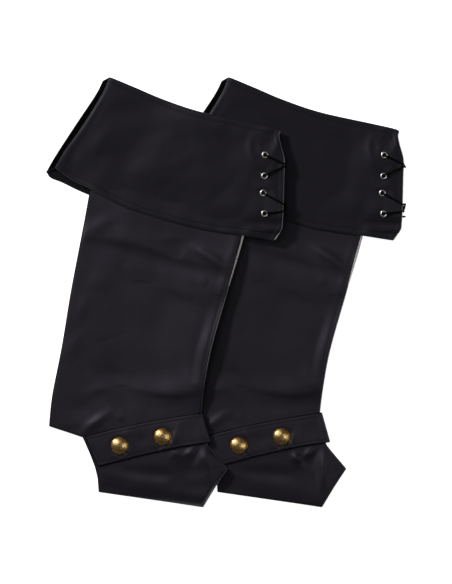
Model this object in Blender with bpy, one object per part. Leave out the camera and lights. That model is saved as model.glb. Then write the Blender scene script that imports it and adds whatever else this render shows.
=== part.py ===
"""Two alike boot covers laid flat, the left one partly on top of the right one.

Each cover is a leg tube ending in a pointed instep, a wide cuff turned down over its top and laced
in front, and an ankle strap with two domed studs. Lengths are in millimetres until the meshes are
made. The table is z = 0, and every piece is laid on the height of what is already there.
"""

import math

import bpy
import numpy as np

MM = 0.001
CLOTH = 1.2
STRAP_CLOTH = 1.6
GAP = 0.3
PAIR_STEP = 143.0
CORD_RADIUS = 1.2
STUD_RADIUS = 10.5
STUD_RISE = 5.0
EYELET_BORE = 2.0
EYELET_BARREL = 2.5
EYELET_FLANGE = 3.9
EYELET_RISE = 0.8
EYELET_HOLE = 2.9
INNER_ROOM = 3.3
FAR_EYELET_SHIFT = 4.0
CROWN = 1.7
MOST_CROWN = 3.4
PAIR_ROOM = 0.5

# The outline of the leg, from the heel corner up to the mouth: back edge and shin edge.
LEG_ROWS = [
    ((-140.0, -159.5), (40.5, -146.0)),
    ((-136.0, -122.5), (44.3, -115.0)),
    ((-124.7, -65.0), (52.8, -68.0)),
    ((-114.0, 0.0), (72.2, 0.0)),
    ((-103.1, 57.6), (90.0, 60.0)),
    ((-92.3, 115.0), (101.0, 108.0)),
    ((-68.0, 253.5), (118.0, 193.5)),
]
LEG_STEPS = [2, 4, 3, 3, 2, 3]
# The same for the instep, from the heel corner down to the sole edge. The shin side holds the toe.
FOOT_ROWS = [
    ((-140.0, -159.5), (40.5, -146.0)),
    ((-117.0, -167.0), (40.5, -155.0)),
    ((-99.5, -172.8), (42.5, -166.0)),
    ((-90.0, -194.4), (49.0, -183.0)),
    ((-84.5, -209.0), (58.5, -194.5)),
    ((-81.5, -222.0), (72.4, -211.0)),
    ((-80.8, -230.5), (58.5, -232.0)),
    ((-80.3, -238.8), (43.5, -256.8)),
]
LEG_COLUMNS = [0, 0.035, 0.1, 0.19, 0.28, 0.37, 0.46, 0.55, 0.64, 0.73, 0.82, 0.91, 0.97, 1]
MOUTH_SAG = 7.5

CUFF_CREASE = [(-66.5, 257.8), (-75.5, 240.0), (-100.0, 201.6), (-122.9, 169.2), (-133.1, 151.2)]
CUFF_FOLD = [(-74.5, 252.8), (-84.5, 237.6), (-109.0, 201.6), (-132.5, 165.6), (-143.9, 146.0)]
CUFF_TOP = [(-66.5, 257.8), (-37.1, 247.5), (-2.3, 232.8), (42.1, 217.6), (104.5, 202.8), (136.0, 194.0)]
CUFF_FRONT = [(136.0, 194.0), (137.4, 170.4), (138.4, 140.4), (138.8, 104.4), (138.8, 78.0), (129.5, 64.0)]
CUFF_HEM = [(-133.1, 151.2), (-111.5, 135.6), (-88.7, 124.8), (-58.7, 108.0), (-27.5, 96.0),
            (37.3, 78.0), (92.5, 69.8), (129.5, 64.0)]
FAR_TOP = [(-74.5, 252.8), (-37.1, 245.8), (-2.3, 231.4), (42.1, 216.2), (104.5, 201.4), (136.0, 192.6)]
FAR_FRONT = [(136.0, 192.6), (139.4, 162.0), (140.0, 140.4), (140.0, 104.4), (138.6, 80.0), (124.0, 70.5)]
FAR_HEM = [(-143.9, 146.0), (-138.0, 139.8), (-124.7, 133.8), (-99.5, 121.8), (-58.7, 106.0),
           (-27.5, 97.0), (37.3, 82.0), (92.5, 74.0), (124.0, 70.5)]

STRAP_UPPER = [(-97.1, -175.2), (-56.3, -164.4), (-13.1, -154.8), (20.5, -148.4), (40.2, -147.0)]
STRAP_LOWER = [(-82.7, -209.4), (-38.3, -198.0), (2.0, -188.4), (20.5, -185.4), (49.2, -180.2)]
STUDS = [("stud_heel", -55.9, -183.1), ("stud_shin", -4.4, -172.4)]
EYELETS = [(118.4, 165.5), (117.7, 140.5), (116.2, 120.1), (117.7, 95.2)]
# Where the lace goes round the front edge for each eyelet.
LACE_EDGE = [154.2, 148.8, 108.6, 97.0]

# Folds of the leg: middle line, height (down if negative) and half width.
FOLDS = [
    ([(-72, 69), (-31, 59), (1, 44), (29, 41), (59, 30)], -1.7, 9),
    ([(-85, 82), (-70, 88)], 1.2, 9),
    ([(-60, 40), (-11, 27), (42, 20)], 1.4, 10),
    ([(-12, 8), (15, -8), (44, -19)], -1.3, 13),
    ([(61, 12), (58, -2)], 1.2, 8),
    ([(42, -48), (42, -84)], 1.6, 7),
    ([(29, -104), (33, -96)], 1.2, 12),
    ([(-92, 2), (-93, -26)], 1.3, 8),
    ([(-102, -46), (-112, -68)], 1.2, 9),
    ([(-85, -58), (-47, -45)], -1.0, 7),
    ([(-76, -100), (-72, -90)], -1.2, 13),
    ([(-55, -121), (-11, -135), (38, -122)], -1.6, 9),
    ([(-92, -115), (-67, -114)], 1.1, 7),
    ([(-106, -163), (-73, -140)], 1.6, 7),
    ([(-60, -222), (-20, -219), (20, -226)], -0.7, 8),
    ([(44, -196), (43, -226)], 1.0, 7),
]
CUFF_FOLDS = [
    ([(-100, 165), (-60, 190)], 1.2, 20),
    ([(-60, 150), (-10, 190)], -1.0, 16),
    ([(60, 90), (85, 110)], 1.3, 18),
    ([(20, 140), (60, 180)], 0.8, 18),
]

STEP = 1.5
ORIGIN = np.array([-240.0, -285.0])
CELLS = (381, 321)


def smooth_line(points, count):
    """Points at even steps along a smooth curve through the given ones."""
    p = np.array(points, float)
    ends = np.vstack([2 * p[0] - p[1], p, 2 * p[-1] - p[-2]])
    fine = []
    for i in range(len(p) - 1):
        a, b, c, d = ends[i:i + 4]
        t = np.linspace(0, 1, 12, endpoint=False)[:, None]
        fine.append(0.5 * (2 * b + (c - a) * t + (2 * a - 5 * b + 4 * c - d) * t**2
                           + (3 * b - a - 3 * c + d) * t**3))
    fine = np.vstack(fine + [p[-1:]])
    along = np.concatenate([[0], np.cumsum(np.linalg.norm(np.diff(fine, axis=0), axis=1))])
    at = np.linspace(0, along[-1], count) if np.isscalar(count) else np.array(count) * along[-1]
    return np.stack([np.interp(at, along, fine[:, k]) for k in range(p.shape[1])], axis=1)


def smoothstep(x):
    x = np.clip(x, 0, 1)
    return x * x * (3 - 2 * x)


def fold_heights(xy, folds):
    """How high the folds stand at each point, fading out towards both ends of each fold."""
    total = np.zeros(xy.shape[:-1])
    for line, height, width in folds:
        p = np.array(line, float)
        length = np.linalg.norm(np.diff(p, axis=0), axis=1)
        before = np.concatenate([[0], np.cumsum(length)])
        nearest = np.full(xy.shape[:-1], 1e9)
        where = np.zeros(xy.shape[:-1])
        for i, (a, b) in enumerate(zip(p[:-1], p[1:])):
            t = np.clip(((xy - a) @ (b - a)) / length[i] ** 2, 0, 1)
            away = np.linalg.norm(xy - a - t[..., None] * (b - a), axis=-1)
            closer = away < nearest
            nearest = np.where(closer, away, nearest)
            where = np.where(closer, (before[i] + t * length[i]) / before[-1], where)
        fade = 0.55 + 0.45 * np.sin(np.pi * where)
        total += height * fade * np.exp(-((nearest / width) ** 2))
    return total


def grid_triangles(rows, columns):
    """Two triangles for each cell of a grid of points."""
    i, j = np.meshgrid(np.arange(rows - 1), np.arange(columns - 1), indexing="ij")
    a = (i * columns + j).ravel()
    b, c, d = a + 1, a + columns + 1, a + columns
    return np.concatenate([np.stack([a, b, c], 1), np.stack([a, c, d], 1)])


def cells_under(points, triangles):
    """The table cells under each triangle, with its corners and their shares there."""
    found = []
    for triangle in triangles:
        a, b, c = points[triangle, :2]
        area = (b[0] - a[0]) * (c[1] - a[1]) - (b[1] - a[1]) * (c[0] - a[0])
        if abs(area) < 1e-6:
            continue
        low = np.floor((np.minimum(np.minimum(a, b), c) - ORIGIN) / STEP).astype(int)
        high = np.ceil((np.maximum(np.maximum(a, b), c) - ORIGIN) / STEP).astype(int)
        ix, iy = np.meshgrid(np.arange(low[0], high[0] + 1), np.arange(low[1], high[1] + 1))
        ix, iy = ix.ravel(), iy.ravel()
        x, y = ORIGIN[0] + ix * STEP - a[0], ORIGIN[1] + iy * STEP - a[1]
        v = (x * (c[1] - a[1]) - y * (c[0] - a[0])) / area
        w = ((b[0] - a[0]) * y - (b[1] - a[1]) * x) / area
        shares = np.stack([1 - v - w, v, w], 1)
        inside = (shares > -0.03).all(axis=1)
        corners = np.repeat([triangle], inside.sum(), axis=0)
        found.append((iy[inside], ix[inside], corners, shares[inside]))
    return [np.concatenate([f[k] for f in found]) for k in range(4)]


def grown(height, cells):
    """The greatest height within that many cells each way."""
    for axis in (0, 1):
        out = height.copy()
        for k in range(1, cells + 1):
            for shift in (k, -k):
                out = np.maximum(out, np.roll(height, shift, axis))
        height = out
    return height


def blurred(height, cells):
    for axis in (0, 1):
        total = height.copy()
        for k in range(1, cells + 1):
            total = total + np.roll(height, k, axis) + np.roll(height, -k, axis)
        height = total / (2 * cells + 1)
    return height


class Table:
    """The height of everything laid on the table so far. Bare table counts as one gap below zero."""

    def __init__(self):
        self.height = np.full(CELLS, -GAP)

    def copy(self):
        other = Table()
        other.height = self.height.copy()
        return other

    def add(self, points, triangles):
        iy, ix, corners, shares = cells_under(points, triangles)
        np.maximum.at(self.height, (iy, ix), (points[corners, 2] * shares).sum(1))

    def add_disc(self, x, y, radius, height):
        gx = ORIGIN[0] + np.arange(CELLS[1]) * STEP - x
        gy = ORIGIN[1] + np.arange(CELLS[0])[:, None] * STEP - y
        inside = gx**2 + gy**2 <= radius**2
        self.height = np.where(inside, np.maximum(self.height, height), self.height)

    def at(self, xy, reach):
        """The greatest height near each point, and a soft slope round it."""
        cells = max(1, round(reach / STEP))
        soft = blurred(grown(self.height, cells), cells)
        place = (np.asarray(xy) - ORIGIN) / STEP
        x0, y0 = np.floor(place[..., 0]).astype(int), np.floor(place[..., 1]).astype(int)
        fx, fy = place[..., 0] - x0, place[..., 1] - y0
        low = soft[y0, x0] * (1 - fx) + soft[y0, x0 + 1] * fx
        high = soft[y0 + 1, x0] * (1 - fx) + soft[y0 + 1, x0 + 1] * fx
        return low * (1 - fy) + high * fy

    def settle(self, xy, low, margin=GAP):
        """Lift points until the facets between them clear what lies below by the margin."""
        rows, columns = low.shape
        flat = np.concatenate([xy.reshape(-1, 2), low.reshape(-1, 1)], axis=1)
        iy, ix, corners, shares = cells_under(flat, grid_triangles(rows, columns))
        floor = grown(self.height, 1)[iy, ix] + margin
        z = flat[:, 2]
        for turn in range(14):
            short = np.maximum(floor - (z[corners] * shares).sum(1), 0)
            if turn < 12:
                push = short[:, None] * shares / (shares**2).sum(1)[:, None]
            else:
                push = short[:, None] * (shares > 0.001)
            lift = np.zeros(len(z))
            np.maximum.at(lift, corners.ravel(), push.ravel())
            z = z + lift
        return z.reshape(rows, columns)

    def lay(self, xy, reach, margin=GAP):
        return self.settle(xy, self.at(xy, reach) + margin, margin)


def stacked(low, high):
    """One closed mesh between two grids of points that match."""
    rows, columns = low.shape[:2]
    n = rows * columns
    faces = grid_triangles(rows, columns)
    index = np.arange(n).reshape(rows, columns)
    loop = np.concatenate([index[0, :-1], index[:-1, -1], index[-1, :0:-1], index[:0:-1, 0]])
    after = np.roll(loop, -1)
    walls = np.concatenate([np.stack([loop, after + n, loop + n], 1),
                            np.stack([loop, after, after + n], 1)])
    points = np.concatenate([low.reshape(-1, 3), high.reshape(-1, 3)])
    triangles = np.concatenate([faces[:, ::-1], faces + n, walls])
    a, b, c = (points[triangles[:, k]] for k in range(3))
    if (np.cross(a, b) * c).sum() < 0:
        triangles = triangles[:, ::-1]
    return points, triangles


def shell(middle, inward, thick):
    """A closed sheet of one thickness about a grid of middle points."""
    return stacked(middle - inward * thick / 2, middle + inward * thick / 2)


def flat_panel(xy, low, thick):
    bottom = np.concatenate([xy, low[..., None]], axis=2)
    return stacked(bottom, bottom + np.array([0, 0, thick]))


def patch(left, right, bottom, top, rows, columns):
    """A grid filled in between four edge curves that meet at their corners."""
    u, v = np.array(columns), np.array(rows)
    l, r = smooth_line(left, v), smooth_line(right, v)
    b, t = smooth_line(bottom, u), smooth_line(top, u)
    u, v = u[None, :, None], v[:, None, None]
    sides = l[:, None] * (1 - u) + r[:, None] * u
    ends = b[None] * (1 - v) + t[None] * v
    corners = ((1 - u) * (1 - v) * b[0] + u * (1 - v) * b[-1] + (1 - u) * v * t[0] + u * v * t[-1])
    return sides + ends - corners


def through_rows(side, steps):
    """A smooth edge through the guide points, with that many rows in each stretch."""
    ends = np.vstack([2 * side[0] - side[1], side, 2 * side[-1] - side[-2]])
    out = [side[0]]
    for i, count in enumerate(steps):
        a, b, c, d = ends[i:i + 4]
        for k in range(count):
            t = (k + 1) / count
            out.append(0.5 * (2 * b + (c - a) * t + (2 * a - 5 * b + 4 * c - d) * t**2
                              + (3 * b - a - 3 * c + d) * t**3))
    return np.array(out)


def leg_outline():
    """The grid of the leg and instep, row by row from the sole to the mouth."""
    foot = np.array(FOOT_ROWS[:0:-1])
    leg = np.array(LEG_ROWS)
    left = np.concatenate([foot[:, 0], through_rows(leg[:, 0], LEG_STEPS)])[:, None]
    right = np.concatenate([foot[:, 1], through_rows(leg[:, 1], LEG_STEPS)])[:, None]
    u = np.array(LEG_COLUMNS)[None, :, None]
    grid = left * (1 - u) + right * u
    # Only the topmost rows follow the curve of the mouth.
    rows = len(grid)
    sag = MOUTH_SAG * smoothstep((np.arange(rows) - rows + 5) / 4.0)
    grid[..., 1] -= sag[:, None] * 4 * u[..., 0] * (1 - u[..., 0])
    return grid


def edge_ease(grid, reach):
    """Nought at the outline of a grid, rising to one at that distance inside it."""
    left = np.linalg.norm(grid - grid[:, :1], axis=2)
    right = np.linalg.norm(grid - grid[:, -1:], axis=2)
    return smoothstep(left / reach) * smoothstep(right / reach)


def leg_gap(grid):
    """The room left inside the leg: its crown and folds."""
    ease = edge_ease(grid, 26.0)
    y = grid[..., 1]
    under_strap = np.exp(-(((y + 178) / 30.0) ** 4))
    crown = CROWN * (1 - 0.75 * under_strap)
    folds = fold_heights(grid, FOLDS) * (1 - 0.8 * under_strap)
    under_cuff = smoothstep((y - 70.0) / 40.0)
    gap = crown * (1 - 0.65 * under_cuff) + folds * (1 - under_cuff)
    return np.clip(gap * ease, 0.0, MOST_CROWN)


def lifted(points, z):
    return np.concatenate([points, np.asarray(z)[..., None]], axis=-1)


def far_cuff_fold(far, far_low, near, near_low):
    """Middle points and inward directions of the fold that joins the far half to the near half."""
    crease, outer = near[:, 0], far[:, 0]
    across = crease - outer
    width = np.linalg.norm(across, axis=1, keepdims=True)
    across = across / width
    base = far_low[:, 0] + CLOTH / 2
    end = near_low[:, 0] + CLOTH / 2
    radius = np.clip((end - base) / 2 - 0.15, 1.0, 3.0)
    columns, inward = [], []
    up = np.array([0.0, 0.0, 1.0])
    for part in (0, 1):
        s = width[:, 0] - 0.5 if part == 0 else width[:, 0] * 0.5 + 1.0
        z = end if part == 0 else (end + base + 2 * radius) / 2
        columns.append(lifted(outer + across * s[:, None], z))
        inward.append(np.repeat(-up[None], len(outer), axis=0))
    for degrees in (90, 135, 180, 225, 270):
        c, d = math.cos(math.radians(degrees)), math.sin(math.radians(degrees))
        s = CLOTH / 2 + radius * (1 + c)
        columns.append(lifted(outer + across * s[:, None], base + radius * (1 + d)))
        flat = lifted(-across * c, np.full(len(outer), -d))
        inward.append(flat)
    return columns, inward


def strap_middle(near, near_low, far, far_low):
    """Middle grid and inward directions of the strap: near half, fold at the shin, far half."""
    up = np.array([0.0, 0.0, 1.0])
    half = STRAP_CLOTH / 2
    columns = [lifted(near[:, j], near_low[:, j] + half) for j in range(near.shape[1])]
    inward = [np.repeat(-up[None], near.shape[0], axis=0)] * near.shape[1]
    out = near[:, -1] - near[:, -2]
    out = out / np.linalg.norm(out, axis=1, keepdims=True)
    top, bottom = near_low[:, -1] + half, far_low[:, -1] + half
    middle, b, a = (top + bottom) / 2, (top - bottom) / 2, 2.4
    for along, rise in ((0.62, 0.9), (1, 0.45), (1, -0.45), (0.62, -0.9)):
        columns.append(lifted(near[:, -1] + out * a * along, middle + b * rise))
        flat = lifted(-out * along * 2.4, -b * rise)
        inward.append(flat / np.linalg.norm(flat, axis=1, keepdims=True))
    for j in range(far.shape[1] - 1, -1, -1):
        columns.append(lifted(far[:, j], far_low[:, j] + half))
        inward.append(np.repeat(up[None], far.shape[0], axis=0))
    return np.stack(columns, axis=1), np.stack(inward, axis=1)


def turned(profile, x, y, z, sides, flip=False):
    """A closed body turned about an upright axis, from a closed profile of (radius, height)."""
    angle = np.arange(sides) * 2 * math.pi / sides
    sign = -1 if flip else 1
    rings = [np.stack([x + r * np.cos(angle), y + r * np.sin(angle), np.full(sides, z + sign * h)], 1)
             for r, h in profile]
    points = np.concatenate(rings)
    faces = []
    count = len(profile)
    for i in range(count):
        j = (i + 1) % count
        for k in range(sides):
            m = (k + 1) % sides
            a, b, c, d = i * sides + k, i * sides + m, j * sides + m, j * sides + k
            faces += [(a, b, c), (a, c, d)]
    faces = np.array(faces)
    a, b, c = (points[faces[:, k]] - points[0] for k in range(3))
    if (np.cross(a, b) * c).sum() < 0:
        faces = faces[:, ::-1]
    return points, faces


def dome(x, y, z, radius, rise, sides=18):
    """A domed stud with a flat back and a thin rim."""
    angle = np.arange(sides) * 2 * math.pi / sides
    steps = [(1.0, 0.0), (1.0, 0.22), (0.86, 0.5), (0.6, 0.82), (0.3, 0.97)]
    rings = [np.stack([x + radius * r * np.cos(angle), y + radius * r * np.sin(angle),
                       np.full(sides, z + rise * h)], 1) for r, h in steps]
    points = np.concatenate(rings + [[[x, y, z + rise]], [[x, y, z]]])
    top, bottom = len(points) - 2, len(points) - 1
    faces = []
    for k in range(sides):
        m = (k + 1) % sides
        for i in range(len(steps) - 1):
            a, b = i * sides + k, i * sides + m
            faces += [(a, b, b + sides), (a, b + sides, a + sides)]
        last = (len(steps) - 1) * sides
        faces += [(last + k, last + m, top), (m, k, bottom)]
    return points, np.array(faces)


def height_at(points, triangles, x, y, radius, highest=True):
    """The greatest or least height of a mesh's facets within a radius of a place."""
    probe = Table()
    probe.height[:] = -1e6
    sign = 1 if highest else -1
    turned_over = points * np.array([1, 1, sign])
    probe.add(turned_over, triangles)
    gx = ORIGIN[0] + np.arange(CELLS[1]) * STEP - x
    gy = ORIGIN[1] + np.arange(CELLS[0])[:, None] * STEP - y
    inside = gx**2 + gy**2 <= max(radius, STEP) ** 2
    return sign * probe.height[inside].max()


def eyelet_profile():
    back = -(GAP * 2 + CLOTH)
    return [(EYELET_BORE, back), (EYELET_BARREL, back), (EYELET_BARREL, 0.0), (EYELET_FLANGE, 0.0),
            (EYELET_FLANGE, 0.3), (3.1, EYELET_RISE), (2.3, EYELET_RISE)]


def lace_path(near_at, far_at, edge_x, near_edge, far_edge, near_eye, far_eye):
    """The lace as one line: in at the fourth eyelet, crossed twice, its free end at the front edge.

    near_at and far_at give the outer and inner heights of the two halves at an eyelet, near_edge
    and far_edge the outer heights at the front edge, near_eye and far_eye the eyelet centres.
    """
    r = CORD_RADIUS
    bend = r + 0.4

    def through(k, near, toward):
        """From inside the cuff out through an eyelet and over its flange, towards a point."""
        eye = near_eye[k] if near else far_eye[k]
        outer, inner = near_at[k] if near else far_at[k]
        side = 1 if near else -1
        d = np.array(toward, float) - eye
        d = d / np.linalg.norm(d)
        steps = [(0.35, inner), (0.35, outer), (0.8, outer + side * bend * 0.75),
                 (1.9, outer + side * bend), (EYELET_FLANGE, outer + side * (bend - 0.1)),
                 (EYELET_FLANGE + 2.6, outer + side * (r - EYELET_RISE + 0.5))]
        return [(*(eye + d * s), z) for s, z in steps]

    def crossing(k_from, k_to, near_first, bulge):
        """Out of one eyelet, round the front edge and in at the other half's eyelet."""
        y0, y1 = LACE_EDGE[k_from], LACE_EDGE[k_to]
        eye0, eye1 = (near_eye, far_eye) if near_first else (far_eye, near_eye)
        z0, z1 = (near_edge[k_from], far_edge[k_to]) if near_first else (far_edge[k_from], near_edge[k_to])
        side = 1 if near_first else -1
        start = through(k_from, near_first, (edge_x, y0))
        finish = through(k_to, not near_first, (edge_x, y1))[::-1]
        top, low = z0 + side * (r + 0.35), z1 - side * (r + 0.35)
        wall = []
        for t in (0.0, 0.12, 0.32, 0.5, 0.68, 0.88, 1.0):
            x = edge_x + (-1.2 if t in (0.0, 1.0) else 1.2 if t in (0.12, 0.88) else 1.75)
            x += bulge * math.sin(math.pi * t)
            y = y0 + (y1 - y0) * smoothstep((t - 0.05) / 0.9)
            wall.append((x, y, top + (low - top) * (0.5 - 0.5 * math.cos(math.pi * t))))
        return start + wall + finish

    def inside(k_from, k_to, near, bow):
        a, b = (near_eye[k_from], near_eye[k_to]) if near else (far_eye[k_from], far_eye[k_to])
        z0 = room[k_from]
        z1 = room[k_to]
        points = []
        for t in (0.12, 0.5, 0.88):
            x, y = a + (b - a) * t
            points.append((x + bow * math.sin(math.pi * t), y, z0 + (z1 - z0) * t))
        return points

    room = [(near_at[k][1] + far_at[k][1]) / 2 for k in range(4)]
    first = crossing(0, 1, True, 0.0)
    second = crossing(0, 1, False, 2.65)
    third = crossing(2, 3, True, 2.65)
    fourth = crossing(2, 3, False, 0.0)
    middle = [(*((near_eye[0] + far_eye[0]) / 2), room[0])]
    # Near eyelet 1 to far eyelet 2, far 3, near 4; and far 1 to near 2, near 3, far 4.
    half_a = first + inside(1, 2, False, 1.0) + fourth
    half_b = second + inside(1, 2, True, -1.0) + third
    stub = [(near_eye[3][0] - 2.6, near_eye[3][1] - 1.0, room[3])]
    eye = far_eye[3]
    tail = [(eye[0] + 2.4, eye[1] - 1.5, room[3]), (edge_x - 4.0, eye[1] - 3.0, room[3]),
            (edge_x + 3.4, eye[1] - 3.2, room[3])]
    return tail[::-1] + half_b[::-1] + middle + half_a + stub


def even_line(points, step):
    """The same line with close points dropped and long stretches cut up."""
    p = np.array(points, float)
    keep = [p[0]]
    for q in p[1:]:
        if np.linalg.norm(q - keep[-1]) > 0.35:
            keep.append(q)
    out = [keep[0]]
    for a, b in zip(keep[:-1], keep[1:]):
        count = max(1, int(np.linalg.norm(b - a) / step))
        out += [a + (b - a) * (k + 1) / count for k in range(count)]
    return np.array(out)


def tube_triangles(line, radius):
    """A coarse upright ribbon along a cord, only to tell the table how high the cord stands."""
    d = np.gradient(line[:, :2], axis=0)
    n = np.stack([-d[:, 1], d[:, 0]], 1) / np.maximum(np.linalg.norm(d, axis=1), 1e-6)[:, None]
    left = np.concatenate([line[:, :2] + n * radius, line[:, 2:] + radius], axis=1)
    right = np.concatenate([line[:, :2] - n * radius, line[:, 2:] + radius], axis=1)
    grid = np.stack([left, right], axis=1)
    return grid.reshape(-1, 3), grid_triangles(len(line), 2)


def cover(name, offset, table, reach):
    """Lay one cover on the table. Returns its pieces, its lace and the holes of its cuff."""
    shift = np.array([offset, 0.0])
    pieces = []
    eyes = np.array(EYELETS) + shift
    far_eyes = eyes + np.array([FAR_EYELET_SHIFT, 0.0])

    # The half of the strap that lies under the leg goes down first.
    across = np.linspace(0, 1, 4)[:, None, None]
    along = np.linspace(0, 1, 10)
    strap = smooth_line(STRAP_LOWER, along)[None] * (1 - across) + smooth_line(STRAP_UPPER, along)[None] * across
    strap = strap + shift
    far_strap = strap.copy()
    far_strap_low = table.lay(far_strap, 9.0)
    points, faces = flat_panel(far_strap, far_strap_low, STRAP_CLOTH)
    table.add(points, faces)

    # The far half of the cuff lies on the far runs of the lace and its eyelets.
    rows = [0, 0.08, 0.22, 0.4, 0.58, 0.76, 0.92, 1]
    columns = [0, 0.05, 0.11, 0.19, 0.28, 0.37, 0.46, 0.55, 0.64, 0.73, 0.82, 0.89, 0.945, 1]
    near = patch(CUFF_CREASE[::-1], CUFF_FRONT[::-1], CUFF_HEM, CUFF_TOP, rows, columns) + shift
    far = patch(CUFF_FOLD[::-1], FAR_FRONT[::-1], FAR_HEM, FAR_TOP, rows, columns) + shift
    below = table.copy()
    lace_room = 2 * CORD_RADIUS + EYELET_RISE + 0.7
    edge_x = FAR_FRONT[2][0] + offset
    for k, (x, y) in enumerate(far_eyes):
        ground = table.at(np.array([[x, y]]), 6.0)[0]
        ground = max(ground, table.at(np.array([[edge_x, LACE_EDGE[k]]]), 6.0)[0])
        below.add_disc(x, y, 5.5, ground + GAP + lace_room)
        for t in np.linspace(0, 1.05, 9):
            px, py = x + (edge_x - x) * t, y + (LACE_EDGE[k] - y) * t
            below.add_disc(px, py, 2.5, ground + GAP + 2 * CORD_RADIUS + 0.4)
    far_low = below.lay(far, reach)
    far_points, far_faces = flat_panel(far, far_low, CLOTH)
    table.add(far_points, far_faces)

    # The far and near side of the leg share one grid, so that their facets stay parallel.
    leg = leg_outline() + shift
    leg_low = table.lay(leg, reach)
    points, faces = flat_panel(leg, leg_low, CLOTH)
    pieces.append((name + "_leg_far", points, faces, "leg"))
    room = leg_gap(leg - shift)
    near_leg_low = leg_low + CLOTH + GAP + room
    points, faces = flat_panel(leg, near_leg_low, CLOTH)
    pieces.append((name + "_leg_near", points, faces, "leg"))
    table.add(points, faces)

    # The near half of the cuff lies on the leg and on the inner runs of the lace.
    inner = table.copy()
    tail = [(far_eyes[3][0] + (edge_x - 3 - far_eyes[3][0]) * t, far_eyes[3][1] - 3 * t) for t in (0.5, 1)]
    for x, y in list(eyes) + list(far_eyes) + [(eyes[1] + eyes[2]) / 2] + tail:
        top = height_at(far_points, far_faces, x, y, 3.0)
        inner.add_disc(x, y, 5.0, top + INNER_ROOM - GAP)
    near_low = inner.at(near, 6.0) + GAP
    near_low = near_low + np.clip(fold_heights(near - shift, CUFF_FOLDS), 0, 1.5)
    crease = far_low[:, 0] + CLOTH + 1.7
    near_low[:, 0] = np.maximum(near_low[:, 0], crease)
    near_low = inner.settle(near, near_low)
    near_points, near_faces = flat_panel(near, near_low, CLOTH)
    pieces.append((name + "_cuff_near", near_points, near_faces, "cuff"))
    table.add(near_points, near_faces)

    folded, inward = far_cuff_fold(far, far_low, near, near_low)
    flat = far[:, 1:]
    for j in range(flat.shape[1]):
        folded.append(lifted(flat[:, j], far_low[:, j + 1] + CLOTH / 2))
        inward.append(np.repeat([[0.0, 0.0, 1.0]], flat.shape[0], axis=0))
    cuff_points, cuff_faces = shell(np.stack(folded, 1), np.stack(inward, 1), CLOTH)
    pieces.append((name + "_cuff_far", cuff_points, cuff_faces, "cuff"))
    table.add(cuff_points, cuff_faces)

    strap_low = table.lay(strap, 6.0)
    middle, inward = strap_middle(strap, strap_low, far_strap, far_strap_low)
    strap_points, strap_faces = shell(middle, inward, STRAP_CLOTH)
    pieces.append((name + "_strap", strap_points, strap_faces, "strap"))
    table.add(strap_points, strap_faces)

    for stud, x, y in STUDS:
        base = height_at(strap_points, strap_faces, x + offset, y, STUD_RADIUS) + GAP
        points, faces = dome(x + offset, y, base, STUD_RADIUS, STUD_RISE)
        pieces.append((name + "_" + stud, points, faces, "stud"))
        table.add(points, faces)

    near_at, far_at = [], []
    for k in range(4):
        x, y = eyes[k]
        seat = height_at(near_points, near_faces, x, y, EYELET_FLANGE) + GAP
        points, faces = turned(eyelet_profile(), x, y, seat, 10)
        pieces.append((f"{name}_eyelet_near_{k + 1}", points, faces, "eyelet"))
        table.add(points, faces)
        under = height_at(near_points, near_faces, x, y, 2.0, False)
        near_at.append((seat + EYELET_RISE, min(seat - 2 * GAP - CLOTH, under)))
        x, y = far_eyes[k]
        seat = height_at(far_points, far_faces, x, y, EYELET_FLANGE, False) - GAP
        points, faces = turned(eyelet_profile(), x, y, seat, 10, True)
        pieces.append((f"{name}_eyelet_far_{k + 1}", points, faces, "eyelet"))
        over = height_at(far_points, far_faces, x, y, 2.0)
        far_at.append((seat - EYELET_RISE, max(seat + 2 * GAP + CLOTH, over)))
    near_edge, far_edge = [], []
    for y in LACE_EDGE:
        near_edge.append(height_at(near_points, near_faces, edge_x - 3.0, y, 4.0))
        far_edge.append(height_at(far_points, far_faces, edge_x - 3.0, y, 4.0, False))
    line = lace_path(near_at, far_at, edge_x, near_edge, far_edge, eyes, far_eyes)
    line = even_line(line, 6.0)
    table.add(*tube_triangles(line, CORD_RADIUS))
    holes = [(name + "_cuff_near", eyes), (name + "_cuff_far", far_eyes)]
    return pieces, (name + "_lace", line), holes


def principled(name, colour, metallic, roughness):
    material = bpy.data.materials.new(name)
    material.use_nodes = True
    bsdf = material.node_tree.nodes["Principled BSDF"]
    bsdf.inputs["Base Color"].default_value = (*colour, 1)
    bsdf.inputs["Metallic"].default_value = metallic
    bsdf.inputs["Roughness"].default_value = roughness
    return material


def leg_material(name):
    return principled(name, (0.014, 0.013, 0.016), 0.0, 0.42)


def cuff_material(name):
    return principled(name, (0.013, 0.011, 0.015), 0.0, 0.45)


def strap_material(name):
    return principled(name, (0.015, 0.015, 0.018), 0.0, 0.4)


def stud_material(name):
    return principled(name, (0.28, 0.17, 0.07), 1.0, 0.35)


def eyelet_material(name):
    return principled(name, (0.62, 0.6, 0.57), 1.0, 0.25)


def lace_material(name):
    return principled(name, (0.01, 0.01, 0.011), 0.0, 0.7)


MATERIALS = {"leg": leg_material, "cuff": cuff_material, "strap": strap_material,
             "stud": stud_material, "eyelet": eyelet_material}


def add_mesh(name, points, faces, material=None):
    mesh = bpy.data.meshes.new(name)
    mesh.from_pydata((points * MM).tolist(), [], faces.tolist())
    mesh.update()
    obj = bpy.data.objects.new(name, mesh)
    bpy.context.scene.collection.objects.link(obj)
    if material:
        mesh.materials.append(material)
    return obj


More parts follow.
